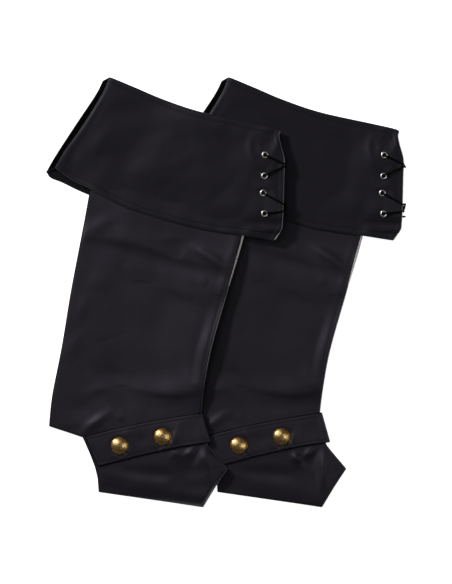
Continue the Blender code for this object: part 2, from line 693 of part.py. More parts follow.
def add_lace(name, line):
    curve = bpy.data.curves.new(name, "CURVE")
    curve.dimensions = "3D"
    spline = curve.splines.new("POLY")
    spline.points.add(len(line) - 1)
    for point, place in zip(spline.points, line):
        point.co = (*(place * MM), 1)
    curve.bevel_depth = CORD_RADIUS * MM
    curve.bevel_resolution = 2
    curve.use_fill_caps = True
    obj = bpy.data.objects.new(name, curve)
    bpy.context.scene.collection.objects.link(obj)
    curve.materials.append(lace_material(name))
    return obj


def punch_holes(obj, eyes, centre):
    """Cut a round hole for each eyelet."""
    parts, faces, used = [], [], 0
    for x, y in eyes:
        profile = [(EYELET_HOLE, -15.0), (EYELET_HOLE, 45.0)]
        angle = np.arange(12) * math.pi / 6
        rings = [np.stack([x + r * np.cos(angle), y + r * np.sin(angle), np.full(12, h)], 1)
                 for r, h in profile]
        ends = np.array([[x, y, profile[0][1]], [x, y, profile[1][1]]])
        points = np.concatenate(rings + [ends])
        for k in range(12):
            m = (k + 1) % 12
            faces += [(used + k, used + m, used + m + 12), (used + k, used + m + 12, used + k + 12),
                      (used + m, used + k, used + 24), (used + k + 12, used + m + 12, used + 25)]
        parts.append(points)
        used += len(points)
    cutter = add_mesh(obj.name + "_cutter", np.concatenate(parts) - centre, np.array(faces))
    cutter.hide_render = True
    cutter.display_type = "WIRE"
    modifier = obj.modifiers.new("eyelet_holes", "BOOLEAN")
    modifier.operation = "DIFFERENCE"
    modifier.solver = "EXACT"
    modifier.object = cutter


def main():
    for obj in list(bpy.data.objects):
        bpy.data.objects.remove(obj)
    table = Table()
    under = cover("right", PAIR_STEP / 2, table, 6.5)
    table.height = np.where(table.height > 0, table.height + PAIR_ROOM, table.height)
    over = cover("left", -PAIR_STEP / 2, table, 10.0)
    everything = np.concatenate([piece[1] for piece in under[0] + over[0]]
                                + [made[1][1] + CORD_RADIUS for made in (under, over)]
                                + [made[1][1] - CORD_RADIUS for made in (under, over)])
    low, high = everything.min(axis=0), everything.max(axis=0)
    centre = np.array([(low[0] + high[0]) / 2, (low[1] + high[1]) / 2, 0.0])
    for pieces, (lace, line), holes in (under, over):
        objects = {}
        for name, points, faces, kind in pieces:
            objects[name] = add_mesh(name, points - centre, faces, MATERIALS[kind](name))
        add_lace(lace, line - centre)
        for name, eyes in holes:
            punch_holes(objects[name], eyes, centre)


main()
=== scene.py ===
import math

import bpy
import numpy as np
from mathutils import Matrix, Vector
from mathutils.bvhtree import BVHTree


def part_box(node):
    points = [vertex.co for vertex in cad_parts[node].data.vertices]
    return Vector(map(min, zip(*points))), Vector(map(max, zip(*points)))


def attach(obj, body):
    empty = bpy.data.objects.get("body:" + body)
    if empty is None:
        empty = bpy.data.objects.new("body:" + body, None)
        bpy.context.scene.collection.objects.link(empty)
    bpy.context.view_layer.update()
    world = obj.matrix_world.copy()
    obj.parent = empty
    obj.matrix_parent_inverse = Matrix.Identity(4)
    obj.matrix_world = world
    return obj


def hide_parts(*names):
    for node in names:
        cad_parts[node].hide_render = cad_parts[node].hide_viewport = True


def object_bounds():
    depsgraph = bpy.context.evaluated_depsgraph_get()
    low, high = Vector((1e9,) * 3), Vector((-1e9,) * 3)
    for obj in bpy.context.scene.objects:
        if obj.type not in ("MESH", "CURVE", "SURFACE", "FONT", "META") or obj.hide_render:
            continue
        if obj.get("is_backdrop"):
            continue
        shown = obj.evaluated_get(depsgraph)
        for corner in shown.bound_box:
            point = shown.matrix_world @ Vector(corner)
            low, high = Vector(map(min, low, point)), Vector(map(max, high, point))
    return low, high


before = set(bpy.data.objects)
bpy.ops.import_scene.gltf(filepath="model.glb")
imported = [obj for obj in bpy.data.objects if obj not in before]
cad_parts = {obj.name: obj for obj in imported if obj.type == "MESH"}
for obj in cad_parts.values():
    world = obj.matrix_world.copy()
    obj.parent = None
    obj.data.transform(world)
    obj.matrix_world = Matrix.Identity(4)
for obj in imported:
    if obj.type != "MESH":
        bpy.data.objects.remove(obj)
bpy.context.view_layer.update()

# Leg tubes. Each cover is a tapering tube of black faux leather, a smooth polyurethane skin on a
# pale knit, cut with a pointed instep, sewn up and laid flat so that it shows two layers. The knit
# shows as a thin line along the cut front edge; its paleness there is partly a painted highlight,
# and from mid shin down a darker copy of the knit is painted shade. All measures here and below
# are in millimetres.
COVERS = {"right": np.array([70.7, -0.5]), "left": np.array([-72.3, -0.5])}
LEATHER = 1.15
CROWN = 2.1  # how far the near layer stands off the far one in the middle
LAYER_GAP = 0.35  # what is left between them where both are pressed flat
PEEK = 1.9  # how much of the far layer's knit shows past the near one
STIFF_SLOPE = 0.06  # the steepest that the stiff cloth takes across a step
CURL = {"right": 0.9, "left": 1.0}  # share of the front edge's spring
# Heights are worked out on a grid of square cells over the table.
CELL = 2.0
CORNER = np.array([-250.0, -290.0])
CELLS = (251, 291)
LEG_ROWS = [
    ((-140.0, -159.5), (40.5, -146.0)), ((-136.0, -122.5), (44.3, -115.0)), ((-124.7, -65.0), (52.8, -68.0)),
    ((-114.0, 0.0), (72.2, 0.0)), ((-103.1, 57.6), (90.0, 60.0)), ((-92.3, 115.0), (101.0, 108.0)),
    ((-68.0, 253.5), (118.0, 193.5)),
]
LEG_STEPS = [18, 28, 32, 28, 24, 26]
FOOT_ROWS = [
    ((-80.3, -238.8), (43.5, -256.8)), ((-80.8, -230.5), (58.5, -232.0)), ((-81.5, -222.0), (72.4, -211.0)),
    ((-84.5, -209.0), (58.5, -194.5)), ((-90.0, -194.4), (49.0, -183.0)), ((-99.5, -172.8), (42.5, -166.0)),
    ((-117.0, -167.0), (40.5, -155.0)), ((-140.0, -159.5), (40.5, -146.0)),
]
FOOT_STEPS = [6, 7, 7, 7, 8, 5, 5]
# Creases of the near layer: middle line, height (down if negative), half width and, where it
# falls off more slowly above its line, the half width there.
LEG_CREASES = [
    ([(-93, 73), (-80, 82), (-64, 90)], 1.7, 8),
    ([(-118, 73), (-57, 65), (-10, 54), (28, 42), (66, 31)], 2.4, 7.5, 15),
    ([(-80, 55), (-30, 45), (28, 28), (66, 18)], -0.5, 9), ([(34, 55), (55, 42), (72, 28)], 3.6, 6),
    ([(-60, 34), (-11, 24), (40, 16)], 0.8, 10), ([(-86, 26), (-82, 2)], 1.1, 11),
    ([(-54, 40), (-48, 32)], -0.7, 5), ([(-16, 14), (14, 6), (48, -3)], 2.8, 11, 24),
    ([(58, 18), (55, -4)], 0.9, 7), ([(40, 20), (50, 10)], 1.0, 6),
    ([(24, -88), (30, -103), (42, -113)], 1.8, 7), ([(-95, 0), (-105, -32)], 1.4, 8),
    ([(-106, -50), (-117, -74)], 1.4, 8), ([(-88, -61), (-66, -55), (-44, -44)], -0.25, 3),
    ([(-88, -92), (-66, -97), (-46, -105)], -1.5, 10),
    ([(-44, -112), (-11, -119), (18, -120), (46, -113)], 2.4, 5, 15),
    ([(-58, -122), (-40, -131), (-11, -137), (22, -133), (43, -125)], -0.5, 7),
    ([(-97, -122), (-82, -115), (-70, -115), (-59, -124)], 1.1, 6), ([(-118, -137), (-92, -141)], -0.9, 9),
    ([(-104, -171), (-88, -157), (-68, -143)], 2.7, 5), ([(-62, -145), (-50, -152)], 1.3, 6),
    ([(-56, -212), (-20, -217), (18, -219)], -2.2, 8.5), ([(10, -190), (16, -203)], 6.4, 4.8),
    ([(22, -197), (26, -207)], -1.2, 4.5), ([(23, -197), (34, -184)], 5.0, 3.8),
    ([(40, -184), (34, -200), (31, -210)], -2.2, 2.8), ([(47, -190), (46, -232)], 6.0, 5.5),
    ([(-86, -213), (-50, -221), (-11, -228), (30, -235)], 0.9, 6),
    ([(-80, -232), (-20, -243), (30, -252)], -0.9, 5),
]
# The hidden far layer has its own, which lift it off the table a little.
FAR_CREASES = [
    ([(-88, 70), (-20, 52), (60, 40)], 1.1, 11), ([(-96, -8), (-50, -24)], 0.9, 10),
    ([(44, -24), (36, -80)], 1.2, 9), ([(-108, -92), (-60, -108), (0, -112)], 1.0, 9),
    ([(-70, -140), (20, -132)], 1.1, 8), ([(-60, -214), (10, -222)], 0.9, 8),
]


def linear(colour):
    """A linear colour from an sRGB hex value."""
    parts = [int(colour[i:i + 2], 16) / 255 for i in (1, 3, 5)]
    return (*[p / 12.92 if p <= 0.04045 else ((p + 0.055) / 1.055) ** 2.4 for p in parts], 1.0)


def add(tree, kind, inputs=(), **settings):
    """A node with its settings, and with its inputs given as values or linked from other sockets."""
    made = tree.nodes.new(kind)
    for name, value in settings.items():
        setattr(made, name, value)
    for key, value in dict(inputs).items():
        if isinstance(value, bpy.types.NodeSocket):
            tree.links.new(value, made.inputs[key])
        else:
            made.inputs[key].default_value = value
    return made


def blank_material(name):
    """A new material and its empty node tree."""
    material = bpy.data.materials.new(name)
    material.use_nodes = True
    material.node_tree.nodes.clear()
    return material, material.node_tree


def finished(material, inputs):
    """The material with its surface, whose inputs are given, and its output."""
    skin = add(material.node_tree, "ShaderNodeBsdfPrincipled", inputs)
    add(material.node_tree, "ShaderNodeOutputMaterial", {"Surface": skin.outputs["BSDF"]})
    return material


def faux_leather(name, base, lighter, roughness, shine):
    """Polyurethane skin pressed smooth on a knit: black with a cool cast, a broad soft sheen, and
    faint waves and pores. Scales are in metres of cloth, from the piece's own UV map."""
    material, tree = blank_material(name)
    cloth = add(tree, "ShaderNodeTexCoord").outputs["UV"]
    # Cloudy tone, patches about 30 mm wide.
    cloud = add(tree, "ShaderNodeTexNoise", {"Vector": cloth, "Scale": 33.0, "Detail": 3.0, "Roughness": 0.55})
    tone = add(tree, "ShaderNodeMix", {"Factor": cloud.outputs["Fac"], "A": linear(base), "B": linear(lighter)},
               data_type="RGBA")
    gloss = add(tree, "ShaderNodeMapRange", {"Value": cloud.outputs["Fac"], "From Min": 0.3, "From Max": 0.7,
                                             "To Min": roughness - 0.04, "To Max": roughness + 0.05})
    # Pores are really about 0.3 mm; drawn 0.9 mm wide, the least that shows.
    pores = add(tree, "ShaderNodeTexVoronoi", {"Vector": cloth, "Scale": 1100.0}, feature="DISTANCE_TO_EDGE")
    # The knit underneath telegraphs through as ripples about 5 mm wide.
    ripple = add(tree, "ShaderNodeTexNoise", {"Vector": cloth, "Scale": 150.0, "Detail": 2.0})
    fine = add(tree, "ShaderNodeBump", {"Height": pores.outputs["Distance"], "Strength": 0.06,
                                        "Distance": 0.0003})
    soft = add(tree, "ShaderNodeBump", {"Height": ripple.outputs["Fac"], "Strength": 0.07, "Distance": 0.002,
                                        "Normal": fine.outputs["Normal"]})
    return finished(material, {
        "Base Color": tone.outputs["Result"], "Roughness": gloss.outputs["Result"], "IOR": 1.5,
        "Specular IOR Level": shine, "Specular Tint": linear("#dbd6e6"), "Normal": soft.outputs["Normal"]})


def knit_backing(name, colour, shine=0.12):
    """Polyester knit behind the skin, pale grey and matt, with loops about 1 mm apart."""
    material, tree = blank_material(name)
    cloth = add(tree, "ShaderNodeTexCoord").outputs["UV"]
    loops = add(tree, "ShaderNodeTexWave", {"Vector": cloth, "Scale": 157.0, "Distortion": 1.5, "Detail": 2.0})
    bump = add(tree, "ShaderNodeBump", {"Height": loops.outputs["Fac"], "Strength": 0.3, "Distance": 0.0004})
    return finished(material, {
        "Base Color": linear(colour), "Roughness": 0.9, "Specular IOR Level": shine,
        "Normal": bump.outputs["Normal"]})


def smoothstep(x):
    x = np.clip(x, 0, 1)
    return x * x * (3 - 2 * x)


def rounded(x):
    """From nought at an edge to one inside it, steep at first as a turned edge is."""
    x = np.clip(x, 0, 1)
    return (1 - (1 - x) ** 2) ** 0.8


def blurred(field, spread):
    """The grid of heights blurred by a bell of that spread."""
    reach = int(3 * spread / CELL) + 1
    weights = np.exp(-0.5 * (np.arange(-reach, reach + 1) * CELL / spread) ** 2)
    weights /= weights.sum()
    for axis in (0, 1):
        field = np.apply_along_axis(lambda row: np.convolve(row, weights, "same"), axis, field)
    return field


def face_heights(name, upper):
    """Height of a CAD node's upper or lower face over the table, eased over its facets, and the
    ground that it covers, from nought to one."""
    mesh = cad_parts[name].data
    mesh.calc_loop_triangles()
    corners = np.array([v.co for v in mesh.vertices]) * 1000
    found = np.full(CELLS, -1e9 if upper else 1e9)
    for a, b, c in corners[np.array([t.vertices for t in mesh.loop_triangles])]:
        first = np.floor((np.minimum(np.minimum(a, b), c)[:2] - CORNER) / CELL).astype(int)
        last = np.ceil((np.maximum(np.maximum(a, b), c)[:2] - CORNER) / CELL).astype(int) + 1
        area = (b[0] - a[0]) * (c[1] - a[1]) - (c[0] - a[0]) * (b[1] - a[1])
        if abs(area) < 1e-6:
            continue
        gx, gy = np.meshgrid(np.arange(first[0], last[0]), np.arange(first[1], last[1]), indexing="ij")
        x, y = gx * CELL + CORNER[0], gy * CELL + CORNER[1]
        s = ((x - a[0]) * (c[1] - a[1]) - (c[0] - a[0]) * (y - a[1])) / area
        t = ((b[0] - a[0]) * (y - a[1]) - (x - a[0]) * (b[1] - a[1])) / area
        inside = (s >= -0.001) & (t >= -0.001) & (s + t <= 1.001)
        z = a[2] + s * (b[2] - a[2]) + t * (c[2] - a[2])
        now = found[gx[inside], gy[inside]]
        found[gx[inside], gy[inside]] = np.maximum(now, z[inside]) if upper else np.minimum(now, z[inside])
    known = (np.abs(found) < 1e8).astype(float)
    found = np.where(known > 0, found, 0.0)
    near_known, wide_known = blurred(known, 4.0), blurred(known, 22.0)
    near = blurred(found, 4.0) / np.maximum(near_known, 1e-6)
    wide = blurred(found, 22.0) / np.maximum(wide_known, 1e-6)
    trust = smoothstep(near_known * 5)
    return near * trust + wide * (1 - trust), near_known


def at(field, xy):
    """The field's value at each point."""
    g = (xy - CORNER) / CELL
    i = np.clip(np.floor(g).astype(int), 0, np.array(CELLS) - 2)
    t = np.clip(g - i, 0, 1)
    x, y = i[..., 0], i[..., 1]
    low = field[x, y] * (1 - t[..., 0]) + field[x + 1, y] * t[..., 0]
    top = field[x, y + 1] * (1 - t[..., 0]) + field[x + 1, y + 1] * t[..., 0]
    return low * (1 - t[..., 1]) + top * t[..., 1]


def heaped(points):
    """Height of the top of a piece over the table, a cell wider all round than its points."""
    piece = np.zeros(CELLS)
    ij = np.rint((points.reshape(-1, 3)[:, :2] - CORNER) / CELL).astype(int)
    np.maximum.at(piece, (ij[:, 0], ij[:, 1]), points.reshape(-1, 3)[:, 2])
    for axis in (0, 1):
        piece = np.maximum(piece, np.maximum(np.roll(piece, 1, axis), np.roll(piece, -1, axis)))
    return piece


def spanned(field, slope):
    """The height of stiff cloth stretched over the field, which falls away no faster than the slope."""
    for _ in range(70):
        for axis, step in ((0, 1), (0, -1), (1, 1), (1, -1)):
            field = np.maximum(field, np.roll(field, step, axis) - slope * CELL)
    return field


def between(a, b, c, d, t):
    """A place on the smooth curve from b to c, whose neighbours are a and d."""
    return 0.5 * (2 * b + (c - a) * t + (2 * a - 5 * b + 4 * c - d) * t**2 + (3 * b - a - 3 * c + d) * t**3)


def curve_through(points, places):
    """Points of a smooth line at those shares of its length."""
    p = np.array(points, float)
    ends = np.vstack([2 * p[0] - p[1], p, 2 * p[-1] - p[-2]])
    fine = [p[:1]]
    for a, b, c, d in zip(ends[:-3], ends[1:-2], ends[2:-1], ends[3:]):
        fine.append(between(a, b, c, d, (np.arange(16) + 1)[:, None] / 16))
    fine = np.concatenate(fine)
    run = np.concatenate([[0], np.cumsum(np.linalg.norm(np.diff(fine, axis=0), axis=1))])
    return np.stack([np.interp(np.array(places) * run[-1], run, fine[:, k]) for k in range(p.shape[1])], 1)


def distance_to(xy, line):
    """Distance from each point to a line, and how far along it the nearest place is."""
    p = np.array(line, float)
    lengths = np.linalg.norm(np.diff(p, axis=0), axis=1)
    before = np.concatenate([[0], np.cumsum(lengths)])
    nearest, where = np.full(xy.shape[:-1], 1e9), np.zeros(xy.shape[:-1])
    for i, (a, b) in enumerate(zip(p[:-1], p[1:])):
        t = np.clip(((xy - a) @ (b - a)) / lengths[i] ** 2, 0, 1)
        away = np.linalg.norm(xy - a - t[..., None] * (b - a), axis=-1)
        closer = away < nearest
        nearest = np.where(closer, away, nearest)
        where = np.where(closer, (before[i] + t * lengths[i]) / before[-1], where)
    return nearest, where


def creased(xy, creases):
    """Height of soft creases, each one fading towards its ends."""
    total = np.zeros(xy.shape[:-1])
    for line, height, width, *above in creases:
        line = curve_through(line, np.linspace(0, 1, 4 * len(line)))
        away, where = distance_to(xy, line)
        if above:
            width = np.where(xy[..., 1] > np.interp(xy[..., 0], line[:, 0], line[:, 1]), above[0], width)
        total += height * (0.35 + 0.65 * np.sin(np.pi * where)) * np.exp(-((away / width) ** 2))
    return total


def rumpled(xy, seed, size, height):
    """Shallow uneven waves of about that size."""
    rng = np.random.default_rng(seed)
    total = np.zeros(xy.shape[:-1])
    for _ in range(14):
        angle, phase = rng.uniform(0, math.tau, 2)
        wave = math.tau / (size * rng.uniform(0.7, 1.6))
        total += np.sin(wave * (xy[..., 0] * math.cos(angle) + xy[..., 1] * math.sin(angle)) + phase)
    return height * total / 3.7


def through_rows(side, steps, smooth=True):
    """One side of the outline, in that many steps from each point to the next, curved or straight."""
    ends = np.vstack([2 * side[0] - side[1], side, 2 * side[-1] - side[-2]])
    out = [side[0]]
    for i, count in enumerate(steps):
        a, b, c, d = ends[i:i + 4]
        out += [between(a, b, c, d, t) if smooth else b + (c - b) * t for t in (np.arange(count) + 1) / count]
    return np.array(out)


def leg_grid(columns):
    """The outline filled in row by row, from the sole edge up to the mouth."""
    foot, leg = np.array(FOOT_ROWS), np.array(LEG_ROWS)
    sides = [np.concatenate([through_rows(foot[:, k], FOOT_STEPS, False),
                             through_rows(leg[:, k], LEG_STEPS)[1:]])[:, None] for k in (0, 1)]
    u = np.array(columns)[None, :, None]
    grid = sides[0] * (1 - u) + sides[1] * u
    sag = 7.5 * smoothstep((grid[:, :1, 1] - 150.0) / 60.0)
    grid[..., 1] -= sag * 4 * u[..., 0] * (1 - u[..., 0])
    return grid


def raised(xy, z):
    """Points over the table with their heights."""
    return np.concatenate([xy, z[..., None]], axis=-1)


def new_object(name, data):
    """A new object in the scene."""
    obj = bpy.data.objects.new(name, data)
    bpy.context.scene.collection.objects.link(obj)
    return obj


def smooth_mesh(name, points, faces, materials):
    """A mesh shaded smooth, from points in millimetres."""
    mesh = bpy.data.meshes.new(name)
    mesh.from_pydata((np.array(points) / 1000).tolist(), [], faces)
    mesh.polygons.foreach_set("use_smooth", np.ones(len(faces), bool))
    for material in materials:
        mesh.materials.append(material)
    return mesh


def sheet_mesh(name, middle, thick, materials, edge_of, face_of=lambda column: 0, proud=0.5):
    """A sheet of cloth about a grid of middle points, with rounded edges.

    Inward faces have material 1, and face_of gives the outward one for each column. edge_of gives
    the rim's at share k of a side: "first_row", "last_column", "last_row" or "first_column". Where
    it isn't 0 the rim is a cut edge, which stands out by the share "proud" of the thickness. The
    width, the length and the area of the flat cloth come back too, in metres.
    """
    rows, columns = middle.shape[:2]
    along = np.gradient(middle, axis=0)
    across = np.gradient(middle, axis=1)
    normal = np.cross(along, across)
    normal /= np.maximum(np.linalg.norm(normal, axis=2, keepdims=True), 1e-9)
    count = rows * columns
    outer, inner = middle + normal * thick / 2, middle - normal * thick / 2
    index = np.arange(count).reshape(rows, columns)
    quads = np.stack([index[:-1, :-1], index[1:, :-1], index[1:, 1:], index[:-1, 1:]], -1).reshape(-1, 4)
    ring, away, kinds = [], [], []
    for side, cells, outward in (
        ("first_row", index[0, :-1], -along[0, :-1]), ("last_column", index[:-1, -1], across[:-1, -1]),
        ("last_row", index[-1, :0:-1], along[-1, :0:-1]), ("first_column", index[:0:-1, 0], -across[:0:-1, 0]),
    ):
        ring.append(cells)
        away.append(outward / np.linalg.norm(outward, axis=1, keepdims=True))
        kinds += [edge_of(side, k / max(1, len(cells) - 1)) for k in range(len(cells))]
    ring, away = np.concatenate(ring), np.concatenate(away)
    kinds = np.array(kinds)
    rim = middle.reshape(-1, 3)[ring] + away * thick * (0.42 + proud * (kinds > 0))[:, None]
    points = np.concatenate([outer.reshape(-1, 3), inner.reshape(-1, 3), rim])
    following = np.roll(np.arange(len(ring)), -1)
    edge = 2 * count + np.arange(len(ring))
    upper = np.stack([ring, ring[following], edge[following], edge], -1)
    lower = np.stack([edge, edge[following], ring[following] + count, ring + count], -1)
    faces = np.concatenate([quads, quads[:, ::-1] + count, upper, lower])
    mesh = smooth_mesh(name, points, faces.tolist(), materials)
    # The UV map is the flat cloth, in metres.
    u = np.concatenate([np.zeros((rows, 1)), np.cumsum(np.linalg.norm(np.diff(middle, axis=1), axis=2), 1)], 1)
    v = np.concatenate([[0], np.cumsum(np.linalg.norm(np.diff(middle[:, columns // 2], axis=0), axis=1))])
    flat = np.stack([u, np.repeat(v[:, None], columns, 1)], -1).reshape(-1, 2) / 1000
    flat = np.concatenate([flat, flat, flat[ring]])
    layer = mesh.uv_layers.new(name="cloth")
    corner = np.empty(len(mesh.loops), np.int32)
    mesh.loops.foreach_get("vertex_index", corner)
    layer.data.foreach_set("uv", flat[corner].reshape(-1).astype(np.float32))
    facing = np.tile([face_of(column) for column in range(columns - 1)], rows - 1)
    which = np.concatenate([facing, np.ones(len(quads)), kinds, np.maximum(kinds, 1)])
    mesh.polygons.foreach_set("material_index", which.astype(np.int32))
    mesh.update()
    area = np.linalg.norm(np.cross(middle[1:, :-1] - middle[:-1, :-1], middle[:-1, 1:] - middle[:-1, :-1]),
                          axis=2).sum() / 1e6
    longest = np.linalg.norm(np.diff(middle, axis=0), axis=2).sum(0).max()
    return new_object(name, mesh), float(u[:, -1].max() / 1000), float(longest / 1000), float(area)


def folded(top, low, most=9.0):
    """Columns that take the cloth round a folded edge, from the first layer to the other."""
    out = top[:, 0] - top[:, 1]
    out[:, 2] = 0
    out /= np.linalg.norm(out, axis=1, keepdims=True)
    middle = (top[:, 0] + low[:, 0]) / 2
    rise = (top[:, 0] - low[:, 0]) / 2
    reach = np.minimum(np.abs(rise[:, 2:]), most)
    columns = []
    for degrees in (60, 30, 0, -30, -60):
        c, s = math.cos(math.radians(degrees)), math.sin(math.radians(degrees))
        columns.append(middle + out * reach * c + rise * s)
    return np.stack(columns, axis=1)


def share_pressed(side, grid):
    """How flat the upper cover presses each point of the lower one, from nought to one."""
    return 0.85 * at(pressed, grid) if side == "right" else np.zeros(grid.shape[:2])


def leg_rim(edge, k):
    """Bare knit along the cut front edges: the pale knit, partly a painted highlight, and from mid shin down a
    darker copy of it as painted shade.
    """
    if edge not in ("first_column", "last_column"):
        return 0
    from_mouth = k if edge == "first_column" else 1 - k
    return 3 if from_mouth > 0.365 else 1


leg_leather = faux_leather("polyurethane_faux_leather_leg", "#100e13", "#17141b", 0.56, 0.4)
# The pale knit is the real backing inside the tube and, along the cut front edge, partly a painted highlight;
# the grey copy below is painted shade on that edge.
leg_knit_and_edge_highlight = knit_backing("polyester_knit_backing_leg_and_painted_edge_highlight", "#e8e5e2")
leg_knit_painted_shade = knit_backing("polyester_knit_edge_painted_shade", "#7d7b7e")
# A darker, duller copy of the leather for the faces round the folded back edge: painted shade along the fold.
leg_fold_painted_shade = faux_leather("polyurethane_faux_leather_painted_fold_shade", "#09080a", "#0c0b0d", 0.8, 0.1)
steps = np.linspace(0, 1, 84)
leg_columns = 0.62 * steps + 0.38 * (0.5 - 0.5 * np.cos(np.pi * steps))
# What lies under the upper cover is pressed flat.
pressed = np.maximum(face_heights("left_leg_far", False)[1], face_heights("left_cuff_far", False)[1])
laid = {}
for side, shift in COVERS.items():
    local = leg_grid(leg_columns)
    grid, x, y = local + shift, local[..., 0], local[..., 1]
    weight = share_pressed(side, grid)
    base = face_heights(side + "_leg_far", False)[0]
    under = at(base, grid)
    # The near layer is stretched across the step where the upper cover climbs on to the lower one.
    bridge = (at(blurred(spanned(base, STIFF_SLOPE), 8.0), grid) - under).clip(0) * (side == "left")
    bridge = bridge * (1 - 0.9 * smoothstep((y - 84 + 0.3 * x) / 30))
    from_back = np.linalg.norm(local - local[:, :1], axis=2)
    from_front = np.linalg.norm(local - local[:, -1:], axis=2)
    ease = rounded(from_back / 6) * rounded(from_front / 6) * rounded((y - y[:1]) / 14 + 0.02)
    crown = CROWN * (0.12 + 0.88 * smoothstep(from_back / 60))
    # The strap and the cuff hold the cloth down.
    strapped = np.exp(-(((y + 178 - 0.21 * x) / 20.0) ** 4))
    cuffed = smoothstep((y - 92.0 + 0.35 * x) / 30.0)
    waves = 0.76 * creased(local, LEG_CREASES) + rumpled(local, 4, 38.0, 0.18)
    room = crown * (1 - 0.6 * strapped) * (1 - 0.6 * cuffed) + waves * (1 - 0.75 * strapped) * (1 - cuffed)
    room = np.clip(room * (1 - weight) + bridge, 0.1, 7.0) * ease
    lift = np.minimum(np.clip(creased(local, FAR_CREASES), 0, 2) * ease, 0.4 * room)
    # The front edge curls up along the shin, where the stiff skin springs back, and at the toe.
    along_shin = smoothstep((78 - y) / 40) * smoothstep((y + 148) / 40)
    bulge = 0.25 + 0.85 * np.exp(-(((y + 60) / 27) ** 2)) + 0.35 * np.exp(-(((y - 10) / 14) ** 2))
    curl = 4.2 * smoothstep(1 - from_front / 80) + 3.4 * bulge * smoothstep((18 - from_front) / 13)
    curl = (curl + 2.8 * np.clip(1 - from_front / 3.6, 0, 1)) * along_shin * CURL[side]
    curl += 2.4 * smoothstep((-188 - y) / 25) * np.clip(1 - from_front / 34, 0, 1) ** 1.3
    # Below the cuff the near layer is a little narrower, and the far one's knit side shows.
    peek = PEEK * smoothstep((y + 5) / 60) * smoothstep(1 - from_front / 25)
    far = raised(grid, under + LEATHER / 2 + lift + curl)
    near = raised(grid - np.stack([peek, 0 * peek], -1), under + LEATHER * 1.5 + LAYER_GAP + room + curl)
    middle = np.concatenate([near[:, ::-1], folded(near, far), far], axis=1)
    # Columns round the back fold take material 2, the painted fold shade.
    leg, width, length, area = sheet_mesh(
        side + "_leg_tube", middle, LEATHER, [leg_leather, leg_knit_and_edge_highlight, leg_fold_painted_shade, leg_knit_painted_shade], leg_rim,
        lambda column: 2 * (-1 <= column - grid.shape[1] <= 4))
    laid[side] = {"pile": heaped(near + np.array([0, 0, LEATHER / 2]))}
    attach(leg, "root")
    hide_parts(side + "_leg_far", side + "_leg_near")

# Cuffs. Each is one wide bell-shaped band of the same faux leather, turned down over the leg and
# laid flat: near half, folded crease at the back, far half. Its hems are turned in and stitched,
# and its open front edges are drawn together by the lace.
CUFF_CREASE = [(-133.1, 151.2), (-122.9, 169.2), (-100.0, 201.6), (-76.2, 240.0), (-68.6, 259.2)]
CUFF_FOLD = [(-143.4, 145.8), (-132.0, 165.6), (-108.5, 201.6), (-84.5, 237.6), (-75.2, 255.6)]
CUFF_TOP = [(-68.6, 259.2), (-62.0, 257.0), (-37.1, 246.6), (-2.3, 231.9), (42.1, 217.0),
            (104.5, 203.2), (130.6, 197.2), (136.2, 194.6)]
CUFF_FRONT = [(129.5, 64.0), (137.2, 76.0), (138.6, 84.0), (139.8, 110.0), (140.6, 140.0), (141.0, 160.5),
              (136.6, 178.0), (134.6, 189.0), (136.2, 194.6)]
CUFF_HEM = [(-133.1, 151.2), (-111.5, 135.6), (-88.7, 124.8), (-58.7, 108.0), (-27.5, 96.0),
            (37.3, 78.0), (92.5, 69.8), (129.5, 64.0)]
FAR_TOP = [(-75.2, 255.6), (-60.0, 253.0), (-37.1, 244.8), (-2.3, 230.4), (42.1, 215.4),
           (104.5, 201.4), (134.0, 192.6)]
FAR_FRONT = [(124.0, 70.5), (136.6, 80.0), (138.4, 104.4), (139.2, 140.4), (138.6, 160.0),
             (134.6, 178.0), (133.2, 188.0), (134.0, 192.6)]
FAR_HEM = [(-143.4, 145.8), (-138.5, 139.4), (-124.7, 133.8), (-99.5, 121.8), (-58.7, 106.0),
           (-27.5, 97.0), (37.3, 82.0), (92.5, 74.0), (124.0, 70.5)]
HEM = 6.4  # from a folded edge to its stitches
CUFF_CREASES = [
    ([(-114, 170), (-84, 222)], 2.4, 34), ([(34, 84), (50, 214)], -1.4, 44),
    ([(-94, 208), (-80, 232), (-71, 250)], 1.2, 3.0), ([(-108, 152), (-100, 180)], 1.6, 8),
    ([(-118, 160), (-96, 194), (-72, 232)], -0.7, 4.5), ([(-122, 158), (-114, 170)], 0.5, 5),
    ([(-66, 236), (-52, 238), (-30, 226)], 1.0, 12), ([(-78, 166), (-40, 171), (-8, 187)], -1.6, 14),
    ([(-58, 196), (-20, 208), (14, 206)], 0.9, 12), ([(-40, 138), (0, 150), (28, 160)], 0.5, 10),
    ([(-40, 128), (0, 136), (40, 146)], -0.9, 12), ([(24, 208), (44, 178), (50, 150)], 0.8, 12),
    ([(60, 196), (70, 160), (66, 120)], -0.6, 13), ([(78, 110), (92, 100)], 1.3, 9),
    ([(-20, 108), (40, 92), (100, 86)], -0.6, 8), ([(82, 186), (96, 196), (112, 190)], 0.8, 7),
    ([(103, 188), (100, 172), (105, 158), (113, 152)], 1.6, 3.4), ([(106, 180), (110, 170)], -1.2, 3.2),
    ([(130, 166), (135, 190)], 2.8, 4.5), ([(122, 157), (129, 151), (137, 157)], -1.6, 3.0),
    ([(124, 145), (132, 157)], 2.2, 2.8), ([(106, 132), (112, 127), (126, 130)], 1.5, 4.2),
    ([(128, 124), (134, 106)], 1.8, 4.0),
]
FAR_CUFF_CREASES = [([(-90, 200), (-30, 180)], 0.8, 12), ([(20, 190), (50, 110)], 0.7, 12)]
EYELETS = np.array([(118.4, 165.5), (117.7, 140.5), (116.2, 120.1), (117.7, 95.2)])


